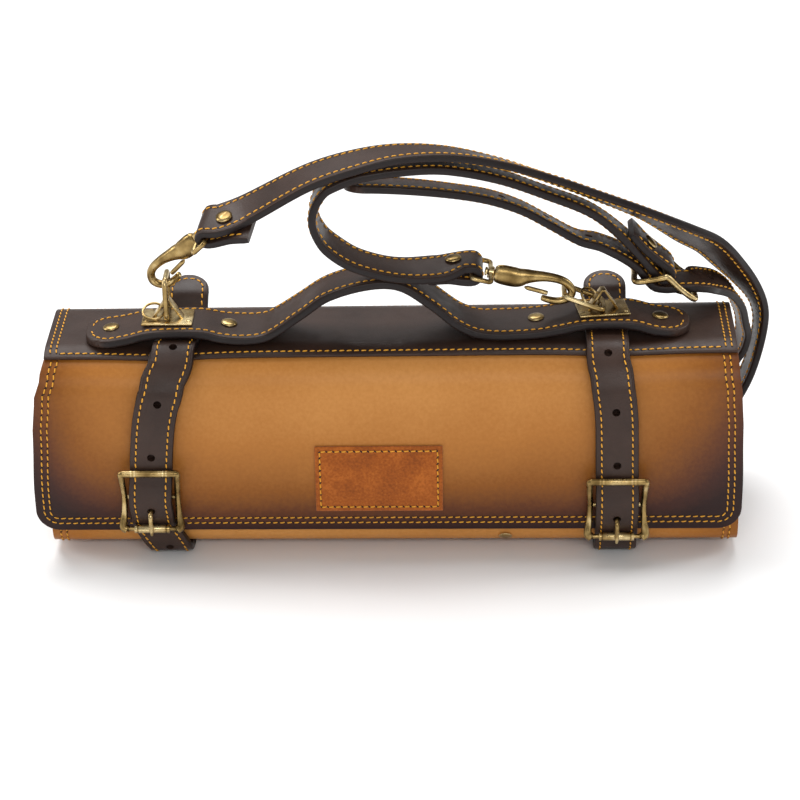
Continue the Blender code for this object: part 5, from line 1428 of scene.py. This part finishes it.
# %% Snap hooks, gates and swivel loops
# Place along the hook, off its axis, half height (shares of its length), half thickness (share of its own)
HOOK_ROWS = [
    (0.000, 0.000, 0.112, 0.44), (0.080, 0.000, 0.127, 0.50), (0.245, 0.004, 0.125, 0.50),
    (0.345, 0.040, 0.098, 0.47), (0.450, 0.068, 0.075, 0.42), (0.590, 0.094, 0.059, 0.37),
    (0.755, 0.096, 0.053, 0.34), (0.870, 0.058, 0.051, 0.32), (0.940, -0.030, 0.051, 0.31),
    (0.905, -0.127, 0.049, 0.31), (0.805, -0.184, 0.045, 0.31), (0.685, -0.193, 0.041, 0.30),
    (0.605, -0.184, 0.036, 0.28),
]
GATE_ROOT = (0.355, -0.098)
GATE_TIP = (0.655, -0.112)
GATE_HALF = 0.028
SEAT_BEND = (0.845, -0.035)    # a ring bar that pulls into the bend
SEAT_NOSE = (0.755, -0.088)    # a ring bar that hangs on the nose
def hook_frame(seat, seat_share, heading, spine):
    """Frame of a snap hook whose throat holds a ring bar at seat."""
    turned_to = axes(Vector((0, 0, 0)), heading, spine)
    return Matrix.Translation(seat - turned_to.to_3x3() @ Vector(
        (seat_share[0] * HOOK_LENGTH, 0, seat_share[1] * HOOK_LENGTH))) @ turned_to



def make_hook(side, frame, wide):
    size, thick = HOOK_LENGTH, HOOK_THICKNESS
    hub_mid = -(0.4 * MM + 1.5 * MM + 1.75 * MM)
    back = hub_mid - 1.75 * MM
    post = [(back - 1.8 * MM, 0, 1.9 * MM, 1.9 * MM), (back - 1.5 * MM, 0, 2.6 * MM, 2.6 * MM),
            (back - 0.6 * MM, 0, 2.6 * MM, 2.6 * MM), (back - 0.35 * MM, 0, HOOK_POST, HOOK_POST),
            (-1.6 * MM, 0, HOOK_POST, HOOK_POST), (-1.25 * MM, 0, 0.085 * size, 0.38 * thick)]
    cast = [(u * size, v * size, h * size, t * thick) for u, v, h, t in HOOK_ROWS]
    stations = post + softened(cast, 5, False)
    last = stations[-1]
    stations.append((last[0] - 0.5 * MM, last[1] + 0.05 * MM, last[2] * 0.6, last[3] * 0.6))
    rings, sides = [], 28
    for i, (u, v, high, deep) in enumerate(stations):
        before, after = stations[max(i - 1, 0)], stations[min(i + 1, len(stations) - 1)]
        along = Vector((after[0] - before[0], 0, after[1] - before[1])).normalized()
        normal = Vector((-along.z, 0, along.x))
        rings.append([Vector((u, 0, v)) + normal * (high * math.sin(a)) + Vector((0, deep * math.cos(a), 0))
                      for a in (2 * math.pi * k / sides for k in range(sides))])
    points, faces = loft(rings)
    piece(f"hook_cast_{side}", smooth_mesh("hook", points, faces, 40), BRASS, frame, f"hook_{side}",
          (f"snap_hook_{side}",))
    root = Vector((GATE_ROOT[0] * size, 0, GATE_ROOT[1] * size))
    tip = Vector((GATE_TIP[0] * size, 0, GATE_TIP[1] * size))
    long = (tip - root).length
    rows = [(0.5 * MM, 0, 0, 0.35), (1.6 * MM, 0, 0, 0.75), (3 * MM, 0, 0, 1.0), (long * 0.5, 0, 0, 1.0),
            (long - 0.6 * MM, 0, 0, 1.0), (long, 0, 0, 0.6)]
    piece(f"gate_{side}_pin", tube("gate", rows, GATE_HALF * size), BRASS,
          frame @ axes(root, tip - root, Vector((0, 0, 1))), f"gate_{side}", (f"snap_gate_{side}",))
    across = (frame.to_3x3().inverted() @ wide).normalized()
    loop_frame = frame @ axes(Vector((hub_mid, 0, 0)), Vector((1, 0, 0)), Vector((1, 0, 0)).cross(across))
    reach, bend = SHOULDER_WIDTH / 2 + 2 * TOUCH_GAP + LOOP_WIRE, 2 * MM
    clear = HOOK_HUB * 0.7
    arc = corner_rows(((-bend, reach - bend, 0), (-LOOP_LEG + bend, reach - bend, 1),
                       (-LOOP_LEG + bend, -reach + bend, 2), (-bend, -reach + bend, 3)), bend)
    points = [(0, clear, 0)] + arc + [(0, -clear, 0)]
    piece(f"loop_{side}", tube("loop", points, LOOP_WIRE, steps=1), BRASS, loop_frame,
          stands_for=(f"swivel_loop_{side}",))
    bore = HOOK_POST + TOUCH_GAP
    hub = [(bore, 1.75), (3.2 * MM, 1.75), (HOOK_HUB, 1.3),
           (HOOK_HUB, -1.3), (3.2 * MM, -1.75), (bore, -1.75)]
    piece(f"hub_{side}", turned("hub", [(r, z * MM) for r, z in hub], ring=True), BRASS,
          loop_frame @ Matrix.Rotation(math.pi / 2, 4, "Y"))
    return frame @ Vector((hub_mid - LOOP_LEG, 0, 0))


left_hook = hook_frame(left_start + left_lean * RING_LENGTH, SEAT_NOSE,
                       Vector((-0.624, 0.345, -0.701)), Vector((-0.72, 0, 0.64)))
right_hook = hook_frame(right_start + right_lean * RING_LENGTH, SEAT_BEND,
                        Vector((0.972, 0, -0.237)), Vector((0.237, 0, 0.972)))
left_wide, right_wide = Vector((0.17, 0.93, 0.32)).normalized(), Vector((0, 1, 0))
left_bar = make_hook("left", left_hook, left_wide)
right_bar = make_hook("right", right_hook, right_wide)
print("pieces so far:", len(made))

# %% [markdown]
# ## Shoulder strap
# Two lengths of strap meet in a buckle. Each end is folded round a swivel loop and riveted. The
# holed length sweeps up over the roll, drops behind it, turns back up and passes through the buckle.

# %% Shoulder strap and its buckle
# Along, back and up as shares of the roll and of the strap's rise, then yaw and rise of the strap's width
LONG_OVER = [
    (-0.377, -0.60, 0.765, 7, 14), (-0.208, -0.51, 0.92, 7, 8), (-0.09, -0.445, 0.986, 7, 5),
    (0.031, -0.355, 1.019, 8, -2), (0.168, -0.245, 1.003, 10, -8), (0.309, -0.11, 0.932, 12, -14),
    (0.448, 0.045, 0.823, 14, -18), (0.592, 0.235, 0.690, 15, -21), (0.733, 0.43, 0.552, 18, -25),
    (0.842, 0.61, 0.42, 24, -35), (0.913, 0.79, 0.321, 29, -35), (0.974, 0.985, 0.183, 29, -30),
    (1.028, 1.156, 0.04, 25, -20), (1.066, 1.28, -0.085, 15, -10), (1.078, 1.35, -0.203, 6, -3),
    (1.068, 1.39, -0.346, 2, 0), (1.045, 1.42, -0.486, 0, 0), (1.0, 1.44, -0.63, 0, 0),
    (0.934, 1.44, -0.766, 0, 0), (0.868, 1.44, -0.86, 0, 0), (0.80, 1.44, -0.894, 0, 0),
    (0.74, 1.44, -0.845, 0, 0), (0.719, 1.44, -0.754, 0, 0), (0.745, 1.44, -0.667, 0, 0),
    (0.807, 1.44, -0.615, 0, 0), (0.877, 1.44, -0.569, 0, 0), (0.943, 1.43, -0.494, 0, 0),
    (0.995, 1.41, -0.403, 0, 0), (1.025, 1.37, -0.30, 4, 2), (1.028, 1.30, -0.20, 11, 12),
    (1.012, 1.135, -0.10, 19, 23), (0.99, 0.97, 0.006, 27, 23), (0.952, 0.77, 0.103, 28, 15),
    (0.902, 0.56, 0.163, 18, 7),
]
LONG_END = [
    (0.594, 0.28, 0.430, 6, -4), (0.533, 0.255, 0.463, 8, -7), (0.453, 0.21, 0.554, 9, -8),
    (0.373, 0.145, 0.648, 9, -8), (0.292, 0.078, 0.713, 9, -8), (0.212, 0.01, 0.754, 9, -9),
    (0.094, -0.078, 0.796, 8, -8), (-0.026, -0.144, 0.822, 7, -7), (-0.113, -0.19, 0.831, 6, -6),
]
SHORT_RUN = [
    (0.1415, -0.267, 0.380, 12, 8), (0.033, -0.378, 0.394, 10, 6), (-0.066, -0.444, 0.45, 6, 6),
    (-0.127, -0.489, 0.52, 2, 8), (-0.1745, -0.50, 0.607, 0, 5), (-0.196, -0.50, 0.730, 0, 0),
    (-0.167, -0.473, 0.855, 0, 0), (-0.12, -0.433, 0.903, 4, -2), (-0.0566, -0.389, 0.933, 8, -3),
    (0.0755, -0.278, 0.946, 9, -4), (0.17, -0.189, 0.928, 10, -5), (0.309, -0.053, 0.851, 10, -7),
    (0.443, 0.102, 0.7345, 10, -8), (0.552, 0.213, 0.635, 9, -6), (0.618, 0.289, 0.54, 7, -3),
    (0.689, 0.356, 0.405, 3, 0),
]
SHOULDER_BUCKLE_AT = (0.778, 0.378, 0.269)
def in_space(along, back, up):
    """A place from its shares of the roll and of the strap's rise."""
    top = ROLL_BASE + ROLL_HEIGHT
    z = top + up * SHOULDER_RISE if up >= 0 else top * (1 + up)
    return Vector((along * HALF_LENGTH, back * HALF_DEPTH, z))


def across_of(yaw, rise):
    """The strap's width direction, front edge to back edge."""
    y, r = math.radians(yaw), math.radians(rise)
    return Vector((-math.sin(y) * math.cos(r), math.cos(y) * math.cos(r), math.sin(r)))


def routed(rows):
    return [(in_space(*row[:3]), across_of(*row[3:])) for row in rows]


def fold(bar, along, up, wide, bar_radius, tail, lift):
    """Rows of a strap end folded round a bar: tail first, then the run that leaves along."""
    bend = bar_radius + TOUCH_GAP + SHOULDER_LEATHER / 2
    under = bend - SHOULDER_LEATHER - lift
    places = [(tail, under), (tail * 0.55, under - 0.3 * MM), (bend * 1.1, -bend * 0.9), (0, -bend),
              (-0.71 * bend, -0.71 * bend), (-bend, 0), (-0.71 * bend, 0.71 * bend), (0, bend),
              (bend * 1.6, bend)]
    return [(bar + along * a + up * b, wide) for a, b in places]


def square_to(direction, other):
    """The part of a direction that stands square to another."""
    other = other.normalized()
    return (direction - other * direction.dot(other)).normalized()


def aim(bar, first, wide):
    """Directions along and up at a fold whose run passes through a place."""
    toward = square_to(first - bar, wide)
    up = square_to(square_to(Vector((0, 0, 1)), wide), toward)
    lean = math.asin((LOOP_WIRE + TOUCH_GAP + SHOULDER_LEATHER / 2) / (first - bar).dot(toward))
    return toward * math.cos(lean) - up * math.sin(lean), up * math.cos(lean) + toward * math.sin(lean)




def make_shoulder_strap(left_bar, left_wide, right_bar, right_wide):
    centre = in_space(*SHOULDER_BUCKLE_AT)
    half = SHOULDER_BUCKLE_LENGTH / 2 - SHOULDER_BUCKLE_WIRE
    left_end, right_end = Vector((-half, 0, -2.4 * MM)), Vector((half, 0, -14 * MM))
    level = Vector((0, 1, 0))
    bend = LOOP_WIRE + TOUCH_GAP + SHOULDER_LEATHER / 2
    clear = SHOULDER_BUCKLE_WIRE + TOUCH_GAP + SHOULDER_LEATHER / 2
    under = bend + SHOULDER_LEATHER + 2 * TOUCH_GAP

    # the buckle: two bent rails, a bar at each end and one in the middle
    reach = SHOULDER_BUCKLE_WIDTH / 2 - SHOULDER_BUCKLE_WIRE
    rail = [(left_end, 1.0), (left_end * 0.5 + Vector((0, 0, -0.3 * MM)), 0.95),
            (Vector((-1.5 * MM, 0, 0)), 1.1),
            (Vector((1.5 * MM, 0, 0)), 1.1), (right_end * 0.5, 0.95), (right_end, 1.0)]
    rows = [(*(p + Vector((0, -reach * 0.94 if k in (0, len(rail) - 1) else -reach, 0))), r)
            for k, (p, r) in enumerate(rail)]
    rows += [(x, -y, z, r) for x, y, z, r in reversed(rows)]
    rows.insert(0, (rows[0][0], 0, rows[0][2], 1.0))
    rows.insert(len(rail) + 1, (rows[len(rail)][0], 0, rows[len(rail)][2], 1.0))
    piece("long_buckle", tube("buckle", rows, SHOULDER_BUCKLE_WIRE, closed=True, steps=6), BRASS,
          Matrix.Translation(centre), stands_for=("shoulder_buckle",))
    piece("long_buckle_bar", tube("bar", [(0, -reach, 0), (0, reach, 0)], LOOP_WIRE), BRASS,
          Matrix.Translation(centre))

    # long strap: hook, arch, turn behind the roll, back through the buckle, free end
    first = in_space(*LONG_OVER[0][:3])
    heading, up = aim(left_bar, first, left_wide)
    rows = fold(left_bar, heading, up, left_wide, LOOP_WIRE, FOLD_TAIL, 0.6 * MM)
    left_run = rows[-2][0]
    rivet_left = (left_run + heading * 10.5 * MM, heading, up)
    rows += routed(LONG_OVER)
    rows += [(centre + right_end + Vector((1.5 * MM, 0.8 * MM, clear + 0.4 * MM)), across_of(5, 0)),
             (centre + Vector((8 * MM, 0, -under + 0.4 * MM)), level),
             (centre + Vector((0, 0, -under)), level),
             (centre + Vector((-7 * MM, 0, -under + 1.9 * MM)), level),
             (centre + left_end + Vector((0.5 * MM, 0, clear + 2.8 * MM)), level)]
    rows += routed(LONG_END)
    pierced = distance_to(smooth_route(rows, FINE_STEP, FINE_TURN), centre + Vector((3 * MM, 0, -under)))
    leather_band("long_strap", rows, SHOULDER_WIDTH, SHOULDER_LEATHER, end_round=SHOULDER_WIDTH / 2,
                 holes=[pierced + k * SHOULDER_HOLE_PITCH for k in range(-1, 5)], node="shoulder_strap_long")

    # the prong goes down through the hole and lies under the far end bar
    low = -under - SHOULDER_LEATHER / 2 - TOUCH_GAP - PRONG_RADIUS
    tip = right_end + Vector((1 * MM, 0, -SHOULDER_BUCKLE_WIRE - TOUCH_GAP - PRONG_RADIUS))
    prong_rows = [(3 * MM, 0, -under + SHOULDER_LEATHER * 0.55, 0.85), (3.2 * MM, 0, -under, 1.0),
                  (4.5 * MM, 0, low, 1.0), (half * 0.6, 0, (low * 0.5 + tip.z * 0.5) - 1.0 * MM, 1.0),
                  (*tip, 0.7)]
    piece("long_prong", tube("prong", prong_rows, PRONG_RADIUS), BRASS, Matrix.Translation(centre),
          stands_for=("shoulder_prong",))

    # short strap: hook, lower run over the handle, loop, upper run, folded round the middle bar
    first = in_space(*SHORT_RUN[0][:3])
    heading, up = aim(right_bar, first, right_wide)
    rows = fold(right_bar, heading, up, right_wide, LOOP_WIRE, FOLD_TAIL, 0.6 * MM)
    rivet_right = (rows[-2][0] + heading * 10.5 * MM, heading, up)
    rows += routed(SHORT_RUN)
    last = in_space(*SHORT_RUN[-1][:3])
    leaving = square_to(last - (centre + Vector((-3.5 * MM, 0, -2.5 * MM))), level)
    lower = square_to(leaving.cross(level), leaving)
    if lower.z > 0:
        lower = -lower
    rows += reversed(fold(centre, leaving, lower, level, LOOP_WIRE, SHORT_TAIL, 0.6 * MM))
    leather_band("short_strap", rows, SHOULDER_WIDTH, SHOULDER_LEATHER, node="shoulder_strap_short")
    tail_at = centre + leaving * (SHORT_TAIL * 0.55) - lower * (SHOULDER_LEATHER + 0.9 * MM - bend)

    for name, (spot, along, out) in (("strap_rivet_left", rivet_left), ("strap_rivet_right", rivet_right),
                                     ("strap_rivet_buckle", (tail_at, leaving, -lower))):
        rivet_cap(name + "_cap", axes(spot + out * (SHOULDER_LEATHER / 2 + 0.4 * MM), along, out), name)


make_shoulder_strap(left_bar, left_wide, right_bar, right_wide)
print("pieces so far:", len(made))

# %% [markdown]
# ## Stage, light and camera
# The photo is a plain product shot: a white ground, one big soft light from above and the front,
# and light from both sides that puts a long soft shine on the leather.

# %% Stage, light and camera
def make_stage():
    mesh = bpy.data.meshes.new("floor")
    mesh.from_pydata([(-6, -6, 0), (6, -6, 0), (6, 8, 0), (-6, 8, 0)], [], [(0, 1, 2, 3)])
    floor = bpy.data.objects.new("floor", mesh)
    bpy.context.scene.collection.objects.link(floor)
    mat, shader, add = new_finish("pale_floor")
    shader.inputs["Base Color"].default_value = (0.9, 0.9, 0.9, 1)
    shader.inputs["Roughness"].default_value = 0.8
    shader.inputs["Specular IOR Level"].default_value = 0.1
    mesh.materials.append(mat)


def area_light(name, at, aim_at, size, power):
    light = bpy.data.lights.new(name, "AREA")
    light.shape, light.size, light.size_y, light.energy = "RECTANGLE", size[0], size[1], power
    obj = bpy.data.objects.new(name, light)
    bpy.context.scene.collection.objects.link(obj)
    obj.location = at
    obj.rotation_euler = (Vector(aim_at) - Vector(at)).to_track_quat("-Z", "Y").to_euler()


make_stage()
area_light("front_soft", (0.15, -1.7, 1.1), (0, 0, 0.08), (1.3, 0.4), 11)
area_light("left_soft", (-1.6, 0.1, 0.8), (0, 0, 0.1), (0.4, 1.0), 9)
area_light("right_soft", (1.5, 0.3, 1.0), (0, 0, 0.1), (0.4, 1.0), 8)
sky = bpy.data.lights.new("high_soft", "SUN")
sky.energy, sky.angle = 2.8, math.radians(50)
high = bpy.data.objects.new("high_soft", sky)
bpy.context.scene.collection.objects.link(high)
high.rotation_euler = (math.radians(-22), math.radians(-8), 0)
world = bpy.data.worlds.new("studio")
world.use_nodes = True
world.node_tree.nodes["Background"].inputs["Color"].default_value = (1, 1, 1, 1)
world.node_tree.nodes["Background"].inputs["Strength"].default_value = 0.36
bpy.context.scene.world = world


def make_camera():
    cam = bpy.data.cameras.new("camera")
    cam.lens, cam.sensor_width = 126.45, 36.0
    obj = bpy.data.objects.new("camera", cam)
    bpy.context.scene.collection.objects.link(obj)
    aim_at = TO_PART @ Vector((6.6 * MM, -2 * MM, 85 * MM))
    up_angle, side_angle, roll = math.radians(27), math.radians(1.5), math.radians(0.9)
    back = Vector((math.sin(side_angle) * math.cos(up_angle), -math.cos(side_angle) * math.cos(up_angle),
                   math.sin(up_angle)))
    right = Vector((0, 0, 1)).cross(back).normalized()
    up = back.cross(right)
    turned_right = right * math.cos(roll) - up * math.sin(roll)
    turned_up = right * math.sin(roll) + up * math.cos(roll)
    obj.matrix_world = Matrix.Translation(aim_at + back * 1.70) @ Matrix(
        (turned_right, turned_up, back)).transposed().to_4x4()
    bpy.context.scene.camera = obj


make_camera()
bpy.context.scene.view_settings.view_transform = "Standard"

# %% [markdown]
# ## Finish
# Any solid that still shows gets the finish of its kind.

# %% Finish
FINISHES = {"tan": TAN, "dark": DARK, "patch": PATCH, "brass": BRASS}
for name, node in frame["nodes"].items():
    for slot in node.material_slots:
        kind = slot.material.name if slot.material else ""
        slot.material = next((f for k, f in FINISHES.items() if k in kind), BRASS)
print("pieces:", len(made))
